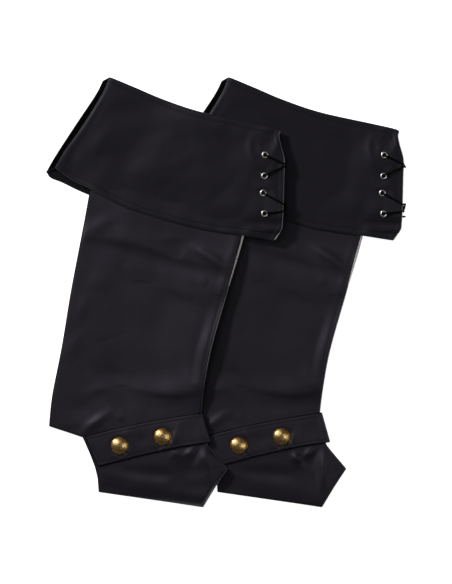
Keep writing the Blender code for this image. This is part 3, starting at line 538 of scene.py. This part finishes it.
def patch(left, right, bottom, top, rows, columns):
    """A grid filled in between four edge lines that meet at their corners."""
    u, v = np.array(columns), np.array(rows)
    l, r = curve_through(left, v), curve_through(right, v)
    b, t = curve_through(bottom, u), curve_through(top, u)
    u, v = u[None, :, None], v[:, None, None]
    corners = (1 - u) * (1 - v) * b[0] + u * (1 - v) * b[-1] + (1 - u) * v * t[0] + u * v * t[-1]
    return l[:, None] * (1 - u) + r[:, None] * u + b[None] * (1 - v) + t[None] * v - corners


def hemmed(xy, line):
    """The turned-in edge of a band: two cloths thick to the stitches, which pull a groove."""
    away = distance_to(xy, curve_through(line, np.linspace(0, 1, 60)))[0]
    step = 0.3 * smoothstep((HEM + 3 - away) / 3)
    groove = 0.5 * np.exp(-(((away - HEM) / 1.0) ** 2))
    rolled = 0.45 * np.exp(-((away / 0.9) ** 2))
    return step - groove - rolled


def bunched(start, end, fine, plain):
    """Places from 0 to 1 that are close together near both ends."""
    return np.concatenate([np.linspace(0, start, fine)[:-1], np.linspace(start, 1 - end, plain),
                           np.linspace(1 - end, 1, fine)[1:]])


# The cuff's copy of the leather is darker and less shiny than the leg's: painted shade that evens out the
# brighter light on the tilted cuff.
cuff_leather_with_painted_shade = faux_leather("polyurethane_faux_leather_cuff_with_painted_shade", "#0d0b10", "#121015", 0.58, 0.27)
cuff_lining = knit_backing("brushed_tricot_lining_black", "#0d0b0f", 0.15)
# Near-black matt copy of the lining for the strip between crease and outer fold: painted shade in the fold.
cuff_fold_painted_shade = knit_backing("near_black_painted_shade_in_the_fold", "#030303", 0.02)
# The cut front edge shows knit: pale near the hem corner, partly a painted highlight, and a grey copy above it
# as painted shade.
cuff_knit_and_corner_highlight = knit_backing("polyester_knit_cuff_corner_and_painted_highlight", "#f0ece8")
# The hem's cut edge in grey knit: partly the bare knit, partly a painted light line along the hem.
cuff_hem_knit_and_light_line = knit_backing("polyester_knit_hem_edge_grey_and_painted_light_line", "#39373b")
cuff_knit_painted_shade = knit_backing("polyester_knit_edge_grey_painted_shade", "#7b797d")
cuff_rows = bunched(0.075, 0.075, 13, 62)
cuff_columns = bunched(0.05, 0.045, 11, 100)
for side, shift in COVERS.items():
    local = patch(CUFF_CREASE, CUFF_FRONT, CUFF_HEM, CUFF_TOP, cuff_rows, cuff_columns)
    local_far = patch(CUFF_FOLD, FAR_FRONT, FAR_HEM, FAR_TOP, cuff_rows, cuff_columns)
    grid, grid_far = local + shift, local_far + shift
    weight = share_pressed(side, grid)
    far_z = at(face_heights(side + "_cuff_far", False)[0], grid_far) + LEATHER / 2
    from_crease = np.linalg.norm(local - local[:, :1], axis=2)
    from_edge = np.linalg.norm(local - local[:, -1:], axis=2)
    waves = 0.6 * creased(local, CUFF_CREASES) + rumpled(local, 9, 34.0, 0.11)
    for eyelet in EYELETS:
        waves -= 0.45 * np.exp(-((np.linalg.norm(local - eyelet, axis=2) / 5.5) ** 2))
    waves = waves * smoothstep(from_crease / 5 + 0.5) * (1 - weight)
    # The near half stands up over the lace at the front edge, and at its lower front corner.
    waves = waves + 3.2 * np.clip(1 - from_edge / 24, 0, 1) ** 1.2
    near_z = at(face_heights(side + "_cuff_near", False)[0], grid) + LEATHER / 2 + 0.2
    near_z = near_z + 4.2 * smoothstep((local[..., 0] - 84) / 20) * smoothstep((86 - local[..., 1]) / 12)
    near_z = near_z + waves + 1.1 * np.clip(1 - distance_to(local, CUFF_HEM)[0] / 8, 0, 1) ** 1.3
    floor_z = at(blurred(laid[side]["pile"], 1.5), grid) + LEATHER / 2 + 0.25
    over_far = np.where(from_crease < 60, far_z[:, :1] + 2.6, near_z)
    near_z = np.maximum.reduce([near_z, floor_z, over_far])
    hems = [hemmed(local, line) for line in (CUFF_HEM, CUFF_TOP, CUFF_FRONT)]
    grooves = sum(np.minimum(hem, 0) for hem in hems)
    # The near half's folded edge turns down at the crease, most at the top.
    turned = (0.6 + 1.0 * smoothstep((local[..., 1] - 170) / 60)) * (1 - rounded(from_crease / 6.5))
    lifted = 0.7 * np.exp(-((from_crease / 13) ** 2))
    near_z += np.maximum.reduce(hems) + 0.5 * grooves + (lifted - turned) * (1 - weight)
    near = raised(grid, near_z)
    far_lift = np.clip(creased(local_far, FAR_CUFF_CREASES), 0, 1) * smoothstep(
        np.linalg.norm(local_far - local_far[:, :1], axis=2) / 20)
    far = raised(grid_far, far_z + far_lift * 0.5)
    # From the crease the band slopes down to the outer fold, which lies on the far half.
    # This strip takes a near-black matt copy of the lining: painted shade inside the fold.
    outer = raised(grid_far[:, :1], (far_z + 2 * 0.8)[:, :1])
    crease = near[:, :1]
    slope = [crease + (outer - crease) * np.array([t, t, 1 - (1 - t) ** 1.5])
             for t in (0.04, 0.1, 0.18, 0.28, 0.4, 0.54, 0.7, 0.86)]
    strip = np.concatenate(slope, axis=1)
    upper = np.concatenate([near[:, ::-1], strip, outer], axis=1)
    turn = folded(np.concatenate([outer, strip[:, ::-1]], axis=1), far)
    middle = np.concatenate([upper, turn, far], axis=1)
    # Rims: the front edge is pale knit near the hem corner (painted highlight) and grey knit above (painted
    # shade); the hem's rim is grey knit with a painted light line.
    cuff, width, length, area = sheet_mesh(
        side + "_cuff_band", middle, LEATHER,
        [cuff_leather_with_painted_shade, cuff_lining, cuff_knit_and_corner_highlight, cuff_hem_knit_and_light_line, cuff_fold_painted_shade, cuff_knit_painted_shade],
        lambda edge, k: (2 if k > 0.86 else 5) if edge == "first_column" else 3 * (edge == "first_row"),
        lambda column: 4 * (near.shape[1] <= column < upper.shape[1] - 1))
    laid[side]["cuff"] = cuff
    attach(cuff, "root")
    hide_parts(side + "_cuff_far", side + "_cuff_near")

# Ankle straps. Each is a band of two leathers stitched together all round, laid over the instep,
# folded round the shin edge and back under the leg to the heel.
STRAP_UPPER = [(-96.0, -172.8), (-56.3, -162.4), (-13.1, -153.5), (20.5, -147.8), (41.6, -144.6)]
STRAP_LOWER = [(-81.6, -207.2), (-38.3, -195.8), (2.0, -186.6), (20.5, -182.8), (51.0, -178.2)]
STRAP_THICK = 1.7
STRAP_SEAM = 3.2  # from the cut edge to the stitches
STUDS = {"stud_heel": (-55.9, -183.1), "stud_shin": (-4.4, -172.4)}
STRAP_CREASES = [
    ([(-50, -192), (-46, -198)], 1.1, 1.4), ([(-47, -191), (-43, -197)], -1.0, 1.4),
    ([(-8, -181), (-9, -188)], -1.0, 1.5), ([(-3, -182), (-1, -187)], 1.0, 1.5),
    ([(5, -178), (9, -185)], 0.9, 1.7), ([(-50, -170), (-46, -166)], 0.5, 4),
    ([(4, -162), (12, -158)], 0.5, 5), ([(8, -182), (12, -170), (15, -160)], 1.8, 4.0),
    ([(-30, -170), (-26, -182)], -0.5, 7), ([(-72, -176), (-78, -192)], 0.4, 6),
    ([(30, -152), (38, -176)], -0.4, 5),
]
strap_leather = faux_leather("polyurethane_faux_leather_strap", "#131116", "#1b181f", 0.54, 0.44)
# Matt black edge paint on the strap's cut edges, which also stands in for the thin dark line of shade along
# them: partly painted shade.
strap_edge_paint_and_shade = knit_backing("black_edge_paint_and_painted_shade", "#060607", 0.05)
for side, shift in COVERS.items():
    share = bunched(0.1, 0.1, 8, 16)[:, None, None]
    along = bunched(0.05, 0.03, 9, 150)
    lower, upper = curve_through(STRAP_LOWER, along), curve_through(STRAP_UPPER, along)
    local = lower[None] * (1 - share) + upper[None] * share
    grid = local + shift
    weight = share_pressed(side, grid)
    low_z = at(face_heights(side + "_strap", False)[0], grid) + STRAP_THICK / 2
    top_z = at(face_heights(side + "_strap", True)[0], grid) - STRAP_THICK / 2
    leg_top = at(blurred(laid[side]["pile"], 2.0), grid)
    dished = 0.35 * (1 - (2 * share[..., 0] - 1) ** 4)
    near_z = np.maximum(top_z, leg_top + STRAP_THICK / 2 + 0.3) + dished
    # Each stud is pressed in and pushes up a low ring round itself. The creases end at its rim.
    from_studs = [np.linalg.norm(local - place, axis=2) for place in STUDS.values()]
    for away in from_studs:
        near_z = near_z - 0.6 * np.exp(-((away / 12.2) ** 6)) + 0.25 * np.exp(-(((away - 13.5) / 2.5) ** 2))
    beside = smoothstep((np.minimum.reduce(from_studs) - 10.3) / 1.6)
    near_z = near_z + creased(local, STRAP_CREASES) * (1 - weight) * beside
    for line in (STRAP_LOWER, STRAP_UPPER, [STRAP_LOWER[0], STRAP_UPPER[0]]):
        edge = distance_to(local, curve_through(line, np.linspace(0, 1, 30)))[0]
        near_z = near_z - 0.2 * np.exp(-(((edge - STRAP_SEAM) / 0.8) ** 2))
        near_z = near_z - 0.08 * np.exp(-((edge / 0.9) ** 2))
    near, far = raised(grid, near_z), raised(grid, low_z)
    # Round the shin edge, where the leg lies inside the fold.
    middle = np.concatenate([far, folded(far[:, ::-1], near[:, ::-1], 2.0), near[:, ::-1]], axis=1)
    # The rim stands a little proud so that its black, partly painted shade, shows as a thin dark line.
    strap, width, length, area = sheet_mesh(
        side + "_ankle_strap", middle, STRAP_THICK, [strap_leather, strap_leather, strap_edge_paint_and_shade],
        lambda edge, k: 2, proud=0.3)
    laid[side]["strap"] = strap
    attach(strap, "root")
    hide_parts(side + "_strap")

# Seams. Lockstitch in black polyester thread, a little glossier than the leather, laid in the
# groove that it pulls: along each cuff's hems and all round each strap, about 3.4 mm a stitch.
SEAM_PITCH, SEAM_STITCH, SEAM_THREAD = 3.4, 2.4, 0.42
THREAD_ABOVE, THREAD_BELOW = 0.12, -0.32  # the thread's middle from the leather; sunk in underneath


def inset_line(line, inside, start, end):
    """The line moved to its left, cut short at both ends, in even steps."""
    fine = curve_through(line, np.linspace(0, 1, 400))
    tangent = np.gradient(fine, axis=0)
    tangent /= np.linalg.norm(tangent, axis=1, keepdims=True)
    moved = fine + inside * np.stack([-tangent[:, 1], tangent[:, 0]], 1)
    run = np.concatenate([[0], np.cumsum(np.linalg.norm(np.diff(moved, axis=0), axis=1))])
    return curve_through(moved[(run >= start) & (run <= run[-1] - end)], np.linspace(0, 1, 90))


def on_surface(obj, line, above, up=True):
    """The line dropped onto a piece from above, or raised to it from below."""
    tree = BVHTree.FromPolygons([v.co for v in obj.data.vertices],
                                [list(p.vertices) for p in obj.data.polygons])
    direction = Vector((0, 0, -1 if up else 1))
    out = []
    for x, y in line:
        hit = tree.ray_cast(Vector((x / 1000, y / 1000, 0.1 if up else -0.1)), direction)[0]
        if hit is not None:
            out.append((hit.x, hit.y, hit.z + (above if up else -above) / 1000))
    return out


def stitch_tree(thread):
    """Geometry Nodes: a short bent thread at even steps along each seam line."""
    tree = bpy.data.node_groups.new("lockstitch_row", "GeometryNodeTree")
    face = tree.interface
    face.new_socket("Seam", in_out="INPUT", socket_type="NodeSocketGeometry")
    for label, value in (("Pitch", SEAM_PITCH), ("Stitch length", SEAM_STITCH), ("Thread radius", SEAM_THREAD)):
        face.new_socket(label, in_out="INPUT", socket_type="NodeSocketFloat").default_value = value / 1000
    face.new_socket("Stitches", in_out="OUTPUT", socket_type="NodeSocketGeometry")
    given = add(tree, "NodeGroupInput")
    steps = add(tree, "GeometryNodeResampleCurve", {
        "Curve": given.outputs["Seam"], "Length": given.outputs["Pitch"]}, mode="LENGTH")
    tangent = add(tree, "GeometryNodeInputTangent")
    turn = add(tree, "FunctionNodeAlignRotationToVector", {"Vector": tangent.outputs["Tangent"]}, axis="Z")
    bead = add(tree, "GeometryNodeMeshUVSphere", {"Segments": 8, "Rings": 6, "Radius": 1.0})
    half = add(tree, "ShaderNodeMath", {0: given.outputs["Stitch length"], 1: 0.5}, operation="MULTIPLY")
    size = add(tree, "ShaderNodeCombineXYZ", {
        "X": given.outputs["Thread radius"], "Y": given.outputs["Thread radius"], "Z": half.outputs[0]})
    shaped = add(tree, "GeometryNodeTransform", {
        "Geometry": bead.outputs["Mesh"], "Scale": size.outputs["Vector"]})
    placed = add(tree, "GeometryNodeInstanceOnPoints", {
        "Points": steps.outputs["Curve"], "Instance": shaped.outputs["Geometry"],
        "Rotation": turn.outputs["Rotation"]})
    real = add(tree, "GeometryNodeRealizeInstances", {"Geometry": placed.outputs["Instances"]})
    painted = add(tree, "GeometryNodeSetMaterial", {
        "Geometry": real.outputs["Geometry"], "Material": thread})
    add(tree, "NodeGroupOutput", {"Stitches": painted.outputs["Geometry"]})
    return tree


def made_plain(obj, name):
    """The evaluated object as a plain mesh, in place of it."""
    bpy.context.view_layer.update()
    mesh = bpy.data.meshes.new_from_object(obj.evaluated_get(bpy.context.evaluated_depsgraph_get()))
    plain = new_object(name, mesh)
    bpy.data.objects.remove(obj)
    return plain


def plain_finish(name, colour, roughness, **more):
    """One even colour, with any other inputs that the surface needs."""
    return finished(blank_material(name)[0], {"Base Color": linear(colour), "Roughness": roughness, **more})


thread = plain_finish("bonded_polyester_thread_black", "#070608", 0.6, **{"Specular IOR Level": 0.2})
lockstitch = stitch_tree(thread)


def sewn(name, lines):
    """Rows of stitches along those lines, as one piece."""
    curve = bpy.data.curves.new(name + "_line", "CURVE")
    curve.dimensions = "3D"
    for line in lines:
        spline = curve.splines.new("POLY")
        spline.points.add(len(line) - 1)
        for point, place in zip(spline.points, line):
            point.co = (*place, 1)
    obj = new_object(name + "_line", curve)
    obj.modifiers.new("stitches", "NODES").node_group = lockstitch
    stitches = made_plain(obj, name)
    stitches.data.polygons.foreach_set("use_smooth", np.ones(len(stitches.data.polygons), bool))
    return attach(stitches, "root")


for side, shift in COVERS.items():
    cuff, strap = laid[side]["cuff"], laid[side]["strap"]
    near = [inset_line(CUFF_HEM, HEM, 8, 8), inset_line(CUFF_TOP, -HEM, 8, 9),
            inset_line(CUFF_FRONT, HEM, 16, 9)]
    far = [inset_line(FAR_HEM, HEM, 14, 10), inset_line(FAR_FRONT, HEM, 10, 9)]
    rows = [inset_line(STRAP_LOWER, STRAP_SEAM, 3, 2), inset_line(STRAP_UPPER, -STRAP_SEAM, 3, 2),
            inset_line([STRAP_LOWER[0], STRAP_UPPER[0]], -STRAP_SEAM, 4, 4)]
    for piece, name, above, below in (
        (cuff, "_cuff_stitches", near, far), (strap, "_strap_stitches", rows, rows),
    ):
        sewn(side + name, [on_surface(piece, line + shift, THREAD_ABOVE) for line in above]
             + [on_surface(piece, line + shift, THREAD_BELOW, False) for line in below])

# Studs. Two domed rivets on each strap: die-struck brass caps with a rolled rim and a raised
# rosette, antiqued so that the hollows are dark and the high places are burnished to pale gold;
# the rim and the dome's foot get the dark tone too, as painted shade round the cap's edge.
STUD_STEPS = 96
STUD_RIM = [(0.02, 0.0), (9.6, 0.0), (10.2, 0.15), (10.5, 0.6), (10.42, 1.05), (10.05, 1.3), (9.75, 1.32)]
RELIEF = 0.07  # height of the struck motif


def foot_of(low, top):
    """The middle of a box's foot, in millimetres."""
    return np.array([(low.x + top.x) / 2, (low.y + top.y) / 2, low.z]) * 1000


def tube_faces(rows, sides):
    """Quads round a tube, from row to row of its points."""
    return [(i * sides + k, i * sides + (k + 1) % sides, (i + 1) * sides + (k + 1) % sides, (i + 1) * sides + k)
            for i in range(rows - 1) for k in range(sides)]


def end_faces(rows, sides):
    """The two faces that close a tube's ends."""
    return [tuple(range(sides))[::-1], tuple(range((rows - 1) * sides, rows * sides))]


def lathe(rings, steps):
    """A turned piece from (radius, height) rings in one closed or pole-to-pole profile."""
    points = [(radius * math.cos(math.tau * k / steps), radius * math.sin(math.tau * k / steps), height)
              for radius, height in rings for k in range(steps)]
    faces = tube_faces(len(rings), steps)
    if rings[0] != rings[-1]:
        faces += end_faces(len(rings), steps)
    else:
        points = points[:-steps]
        faces = [tuple(p % len(points) for p in face) for face in faces]
    corners = np.array(points)
    volume = sum(np.dot(corners[f[0]], np.cross(corners[f[1]], corners[f[2]]))
                 + np.dot(corners[f[0]], np.cross(corners[f[2]], corners[f[3]]))
                 for f in faces if len(f) == 4)
    return points, faces if volume > 0 else [face[::-1] for face in faces]


def turned_piece(name, points, faces, centre, material, burnish_and_rim_shade=None):
    """The piece stood on its place, with how bright each point's tone is: burnish, or painted shade at the rim.
    """
    mesh = smooth_mesh(name, np.array(points) + centre, faces, [material])
    if burnish_and_rim_shade is not None:
        mesh.attributes.new("burnish_and_rim_shade", "FLOAT", "POINT").data.foreach_set("value", np.array(burnish_and_rim_shade, np.float32))
    mesh.update()
    obj = new_object(name, mesh)
    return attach(obj, "root")


def rosette(radius, angle):
    """Height of the struck motif: a boss, six petals and a ring."""
    boss = RELIEF * smoothstep((1.7 - radius) / 0.9)
    reach = 2.4 + 3.4 * abs(math.cos(3 * angle)) ** 0.8
    petal = RELIEF * smoothstep((reach - radius) / 1.4) * smoothstep((radius - 2.0) / 0.8)
    ring = 0.02 * math.exp(-(((radius - 7.4) / 0.4) ** 2))
    return float(boss + petal + ring)


def antique_brass(name):
    """Struck brass with a brown patina in the hollows, the same dark tone painted as shade round the cap's
    edge, and a soft burnish on the high places.
    """
    material, tree = blank_material(name)
    burnish_and_rim_shade = add(tree, "ShaderNodeAttribute", attribute_name="burnish_and_rim_shade")
    place = add(tree, "ShaderNodeTexCoord").outputs["Object"]
    stain = add(tree, "ShaderNodeTexNoise", {"Vector": place, "Scale": 420.0, "Detail": 4.0, "Roughness": 0.6})
    worn_and_rim_shade = add(tree, "ShaderNodeMath", {0: burnish_and_rim_shade.outputs["Fac"], 1: stain.outputs["Fac"]}, operation="ADD")
    share = add(tree, "ShaderNodeMapRange", {"Value": worn_and_rim_shade.outputs[0], "From Min": 0.5, "From Max": 1.05})
    tone = add(tree, "ShaderNodeMix", {"Factor": share.outputs["Result"], "A": linear("#7c5824"),
                                       "B": linear("#dfbd80")}, data_type="RGBA")
    dull = add(tree, "ShaderNodeMapRange", {"Value": share.outputs["Result"], "To Min": 0.42, "To Max": 0.31})
    pits = add(tree, "ShaderNodeBump", {"Height": stain.outputs["Fac"], "Strength": 0.12, "Distance": 0.0003})
    return finished(material, {
        "Base Color": tone.outputs["Result"], "Metallic": 1.0, "Roughness": dull.outputs["Result"],
        "Normal": pits.outputs["Normal"]})


brass = antique_brass("antiqued_struck_brass")
for side, shift in COVERS.items():
    for stud in STUDS:
        low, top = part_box(side + "_" + stud)
        centre = foot_of(low, top)
        # The cap is seated on the modelled strap, on its mean height under the rim.
        round_it = [centre[:2] + 10.3 * np.array([math.cos(a), math.sin(a)]) for a in np.linspace(0, 6, 16)]
        seat = np.mean([z for _, _, z in on_surface(laid[side]["strap"], round_it, 0.0)]) * 1000
        centre[2] = max(centre[2], seat - 0.1)
        rings = STUD_RIM + [(radius, 1.3 + 3.3 * (1 - (radius / 9.7) ** 2) ** 0.85)
                            for radius in np.linspace(9.6, 0.02, 44)]
        points, faces = lathe(rings, STUD_STEPS)
        burnish_and_rim_shade = []
        for i, (x, y, z) in enumerate(points):
            ring = i // STUD_STEPS - len(STUD_RIM)
            rise = rosette(math.hypot(x, y), math.atan2(y, x) + 0.2) if ring >= 0 else 0.0
            points[i] = (x, y, z + rise)
            # The rim and the dome's two lowest rings get nought, the darkest tone: painted shade round the
            # cap's edge.
            burnish_and_rim_shade.append(0.26 + 0.5 * rise / RELIEF if ring >= 2 else 0.0)
        piece = turned_piece(side + "_" + stud + "_cap", points, faces, centre, brass, burnish_and_rim_shade)
        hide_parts(side + "_" + stud)

# Eyelets. Four rolled rings through each half of the cuff's front edge: brass blanks, nickel
# plated, pressed from outside and curled over on the inside.
nickel = plain_finish("nickel_plated_brass_eyelet", "#f6f3ec", 0.3, Metallic=1.0)
for side in COVERS:
    for half in ("near", "far"):
        for k in range(1, 5):
            node = f"{side}_eyelet_{half}_{k}"
            low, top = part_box(node)
            height = (top.z - low.z) * 1000
            rings = [(2.35, 0.1), (2.35, height - 0.6), (2.5, height - 0.22), (2.75, height - 0.03),
                     (3.1, height + 0.06), (3.5, height - 0.02), (3.85, height - 0.25), (4.0, height - 0.6),
                     (3.9, height - 0.8), (2.95, height - 0.8), (2.85, 0.3), (3.15, 0.02), (3.2, -0.25),
                     (2.85, -0.35), (2.45, -0.2), (2.35, 0.1)]
            if half == "far":
                rings = [(radius, height - z) for radius, z in rings[::-1]]
            points, faces = lathe(rings, 48)
            piece = turned_piece(node + "_ring", points, faces, foot_of(low, top), nickel)
            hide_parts(node)

# Laces. One round braided cord of waxed black cotton, 2.4 mm thick, draws each cuff's front edges
# together: crossed between the first two eyelets, run inside, crossed between the last two.
LACE = 1.2  # radius of the cord
LACE_EDGE = [155.2, 151.6, 106.6, 98.0]  # where it crosses the front edge, from each eyelet
FRONT_EDGE = 140.8


def waxed_cotton(name):
    """Tightly braided cotton drawn through wax: black, with a dull shine on the slanting strands,
    0.9 mm wide as drawn."""
    material, tree = blank_material(name)
    cloth = add(tree, "ShaderNodeTexCoord").outputs["UV"]
    strands = []
    for lean in (0.9, -0.9):
        turned = add(tree, "ShaderNodeMapping", {"Vector": cloth, "Rotation": (0, 0, lean)})
        strands.append(add(tree, "ShaderNodeTexWave", {"Vector": turned.outputs["Vector"], "Scale": 170.0}))
    braid = add(tree, "ShaderNodeMath", {0: strands[0].outputs["Fac"], 1: strands[1].outputs["Fac"]},
                operation="MAXIMUM")
    bump = add(tree, "ShaderNodeBump", {"Height": braid.outputs[0], "Strength": 0.5, "Distance": 0.0004})
    return finished(material, {
        "Base Color": linear("#030303"), "Roughness": 0.62, "Specular IOR Level": 0.06,
        "Normal": bump.outputs["Normal"]})


def lace_line(side, shift):
    """The cord's middle line from its free tip to the end inside the cuff."""
    eyes, outer, inner = {}, {}, {}
    for half in ("near", "far"):
        for k in range(4):
            low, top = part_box(f"{side}_eyelet_{half}_{k + 1}")
            eyes[half, k] = foot_of(low, top)[:2]
            outer[half, k], inner[half, k] = (top.z * 1000, low.z * 1000 - 0.2) if half == "near" else (
                low.z * 1000, top.z * 1000 + 0.2)
    edge = FRONT_EDGE + shift[0]
    room = [(inner["near", k] + inner["far", k]) / 2 for k in range(4)]
    cuff = laid[side]["cuff"]
    rims = {}
    for half, up in (("near", True), ("far", False)):
        for k in range(4):
            hits = on_surface(cuff, [(edge - 3.2, LACE_EDGE[k] + shift[1])], 0.0, up)
            rims[half, k] = hits[0][2] * 1000

    def through(k, half, toward):
        """Up through an eyelet and over its flange."""
        d = np.array(toward) - eyes[half, k]
        d = d / np.linalg.norm(d)
        lift = 1 if half == "near" else -1
        out = outer[half, k]
        spots = [(0.3, inner[half, k]), (0.5, out), (1.1, out + lift * 1.1), (2.2, out + lift * 1.5),
                 (4.0, out + lift * 1.45), (7.0, out + lift * 0.9)]
        return [(*(eyes[half, k] + d * s), z) for s, z in spots]

    def resting(k, half, toward):
        """Along the leather from an eyelet towards the front edge."""
        out = []
        for t in (0.42, 0.6, 0.78, 0.9):
            spot = eyes[half, k] * (1 - t) + np.array(toward) * t
            hits = on_surface(cuff, [spot], LACE + 0.05, half == "near")
            if hits:
                out.append((*spot, hits[0][2] * 1000))
        return out

    def crossing(a, b, half, bulge):
        """From an eyelet round the front edge to one in the other half."""
        other = "far" if half == "near" else "near"
        y0, y1 = LACE_EDGE[a] + shift[1], LACE_EDGE[b] + shift[1]
        lift = 1 if half == "near" else -1
        z0, z1 = rims[half, a] + lift * (LACE + 0.3), rims[other, b] - lift * (LACE + 0.3)
        bend = []
        for t in (0.0, 0.15, 0.35, 0.5, 0.65, 0.85, 1.0):
            x = edge - 1.0 + (2.0 + bulge) * math.sin(math.pi * t) ** 0.7
            moved = float(smoothstep(2 * t - 1 if half == "near" else 2 * t))
            bend.append((x, y0 + (y1 - y0) * moved, z0 + (z1 - z0) * (0.5 - 0.5 * math.cos(math.pi * t))))
        return (through(a, half, (edge, y0)) + resting(a, half, (edge, y0)) + bend
                + resting(b, other, (edge, y1))[::-1] + through(b, other, (edge, y1))[::-1])

    def inside(a, b, half, bow):
        """Between two eyelets of one half, inside the cuff."""
        p, q = eyes[half, a], eyes[half, b]
        return [(*(p + (q - p) * t + np.array([bow * math.sin(math.pi * t), 0])),
                 room[a] + (room[b] - room[a]) * t) for t in (0.15, 0.5, 0.85)]

    middle = [(*((eyes["near", 0] + eyes["far", 0]) / 2), room[0])]
    half_a = crossing(0, 1, "near", 0.0) + inside(1, 2, "far", 1.0) + crossing(2, 3, "far", 0.0)
    half_b = crossing(0, 1, "far", 1.9) + inside(1, 2, "near", -1.0) + crossing(2, 3, "near", 1.9)
    eye = eyes["far", 3]
    tail = [(eye[0] + 2.4, eye[1] - 1.5, room[3]), (edge - 4.0, eye[1] - 3.0, room[3]),
            (edge + 3.6, eye[1] - 3.4, room[3])]
    stub = [(eyes["near", 3][0] - 2.6, eyes["near", 3][1] - 1.0, room[3])]
    return tail[::-1] + half_b[::-1] + middle + half_a + stub


def cord_mesh(name, line, radius, material, sides=14):
    """A round cord along a smooth line, drawn in to a waxed tip at its first end."""
    kept = [np.array(line[0])]
    for point in line[1:]:
        if np.linalg.norm(np.array(point) - kept[-1]) > 0.6:
            kept.append(np.array(point))
    rough = np.array(kept)
    length = np.linalg.norm(np.diff(rough, axis=0), axis=1).sum()
    path = curve_through(rough, np.linspace(0, 1, int(length / 0.5)))
    tangent = np.gradient(path, axis=0)
    tangent /= np.linalg.norm(tangent, axis=1, keepdims=True)
    side = np.cross(tangent[0], (0, 0, 1.0))
    points = []
    for i, (place, way) in enumerate(zip(path, tangent)):
        side = side - way * (side @ way)
        side /= np.linalg.norm(side)
        other = np.cross(way, side)
        thick = radius * min(1.0, 0.45 + 0.14 * i) if i < 5 else radius
        for k in range(sides):
            angle = math.tau * k / sides
            points.append(place + thick * (side * math.cos(angle) + other * math.sin(angle)))
    faces = tube_faces(len(path), sides) + end_faces(len(path), sides)
    flat = [(math.tau * radius * (k + p) / sides / 1000, (i + q) * length / len(path) / 1000)
            for i in range(len(path) - 1) for k in range(sides) for p, q in ((0, 0), (1, 0), (1, 1), (0, 1))]
    flat += [(0, 0)] * (2 * sides)
    mesh = smooth_mesh(name, points, faces, [material])
    mesh.uv_layers.new(name="cloth").data.foreach_set("uv", np.array(flat, np.float32).reshape(-1))
    mesh.update()
    return new_object(name, mesh)


cotton = waxed_cotton("waxed_braided_cotton_black")
for side, shift in COVERS.items():
    lace = cord_mesh(side + "_lace_cord", lace_line(side, shift), LACE, cotton)
    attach(lace, "root")
    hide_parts(side + "_lace")

# Floor, light and camera. A plain white table that glows a little, a small key light from the upper
# left that casts the upper cover's shadow on the lower one, and two weak broad lights, one from
# above and one from the right.
ALONG = 0.7011  # metres of the table along the picture's long side
LENS, SENSOR = 200, 36
COVER_TOP = 0.008  # the scale is true at this height, the middle of what is seen
table_top = [(-4000, -4000, -0.2), (4000, -4000, -0.2), (4000, 4000, -0.2), (-4000, 4000, -0.2)]
white = plain_finish("white_acrylic_light_table", "#f4f4f4", 0.9, **{
    "Emission Color": linear("#ffffff"), "Emission Strength": 0.85})
floor = new_object("table", smooth_mesh("table", table_top, [(0, 1, 2, 3)], [white]))
floor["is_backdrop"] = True


def softbox(name, place, width, height, watts):
    """A rectangle of light that faces the middle of the table."""
    lamp = bpy.data.lights.new(name, "AREA")
    lamp.shape, lamp.size, lamp.size_y, lamp.energy = "RECTANGLE", width, height, watts
    obj = new_object(name, lamp)
    obj.location = place
    obj.rotation_euler = (-Vector(place)).to_track_quat("-Z", "Y").to_euler()
    obj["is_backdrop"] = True


softbox("key", (-2.0, 1.57, 1.66), 0.38, 0.38, 77)
softbox("top_left", (-0.8, 1.2, 2.3), 1.4, 1.0, 7)
softbox("right_fill", (1.6, -0.2, 2.0), 1.0, 1.4, 12)
world = bpy.context.scene.world or bpy.data.worlds.new("room")
bpy.context.scene.world = world
world.use_nodes = True
room_light = world.node_tree.nodes["Background"]
room_light.inputs["Color"].default_value = linear("#ffffff")
room_light.inputs["Strength"].default_value = 0.05
bpy.context.scene.view_settings.view_transform = "Standard"

lens = bpy.data.cameras.new("camera")
lens.lens, lens.sensor_width, lens.clip_end = LENS, SENSOR, 50
camera = new_object("camera", lens)
camera.location = (-0.0006, 0.00096, ALONG * LENS / SENSOR + COVER_TOP)
bpy.context.scene.camera = camera

low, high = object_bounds()
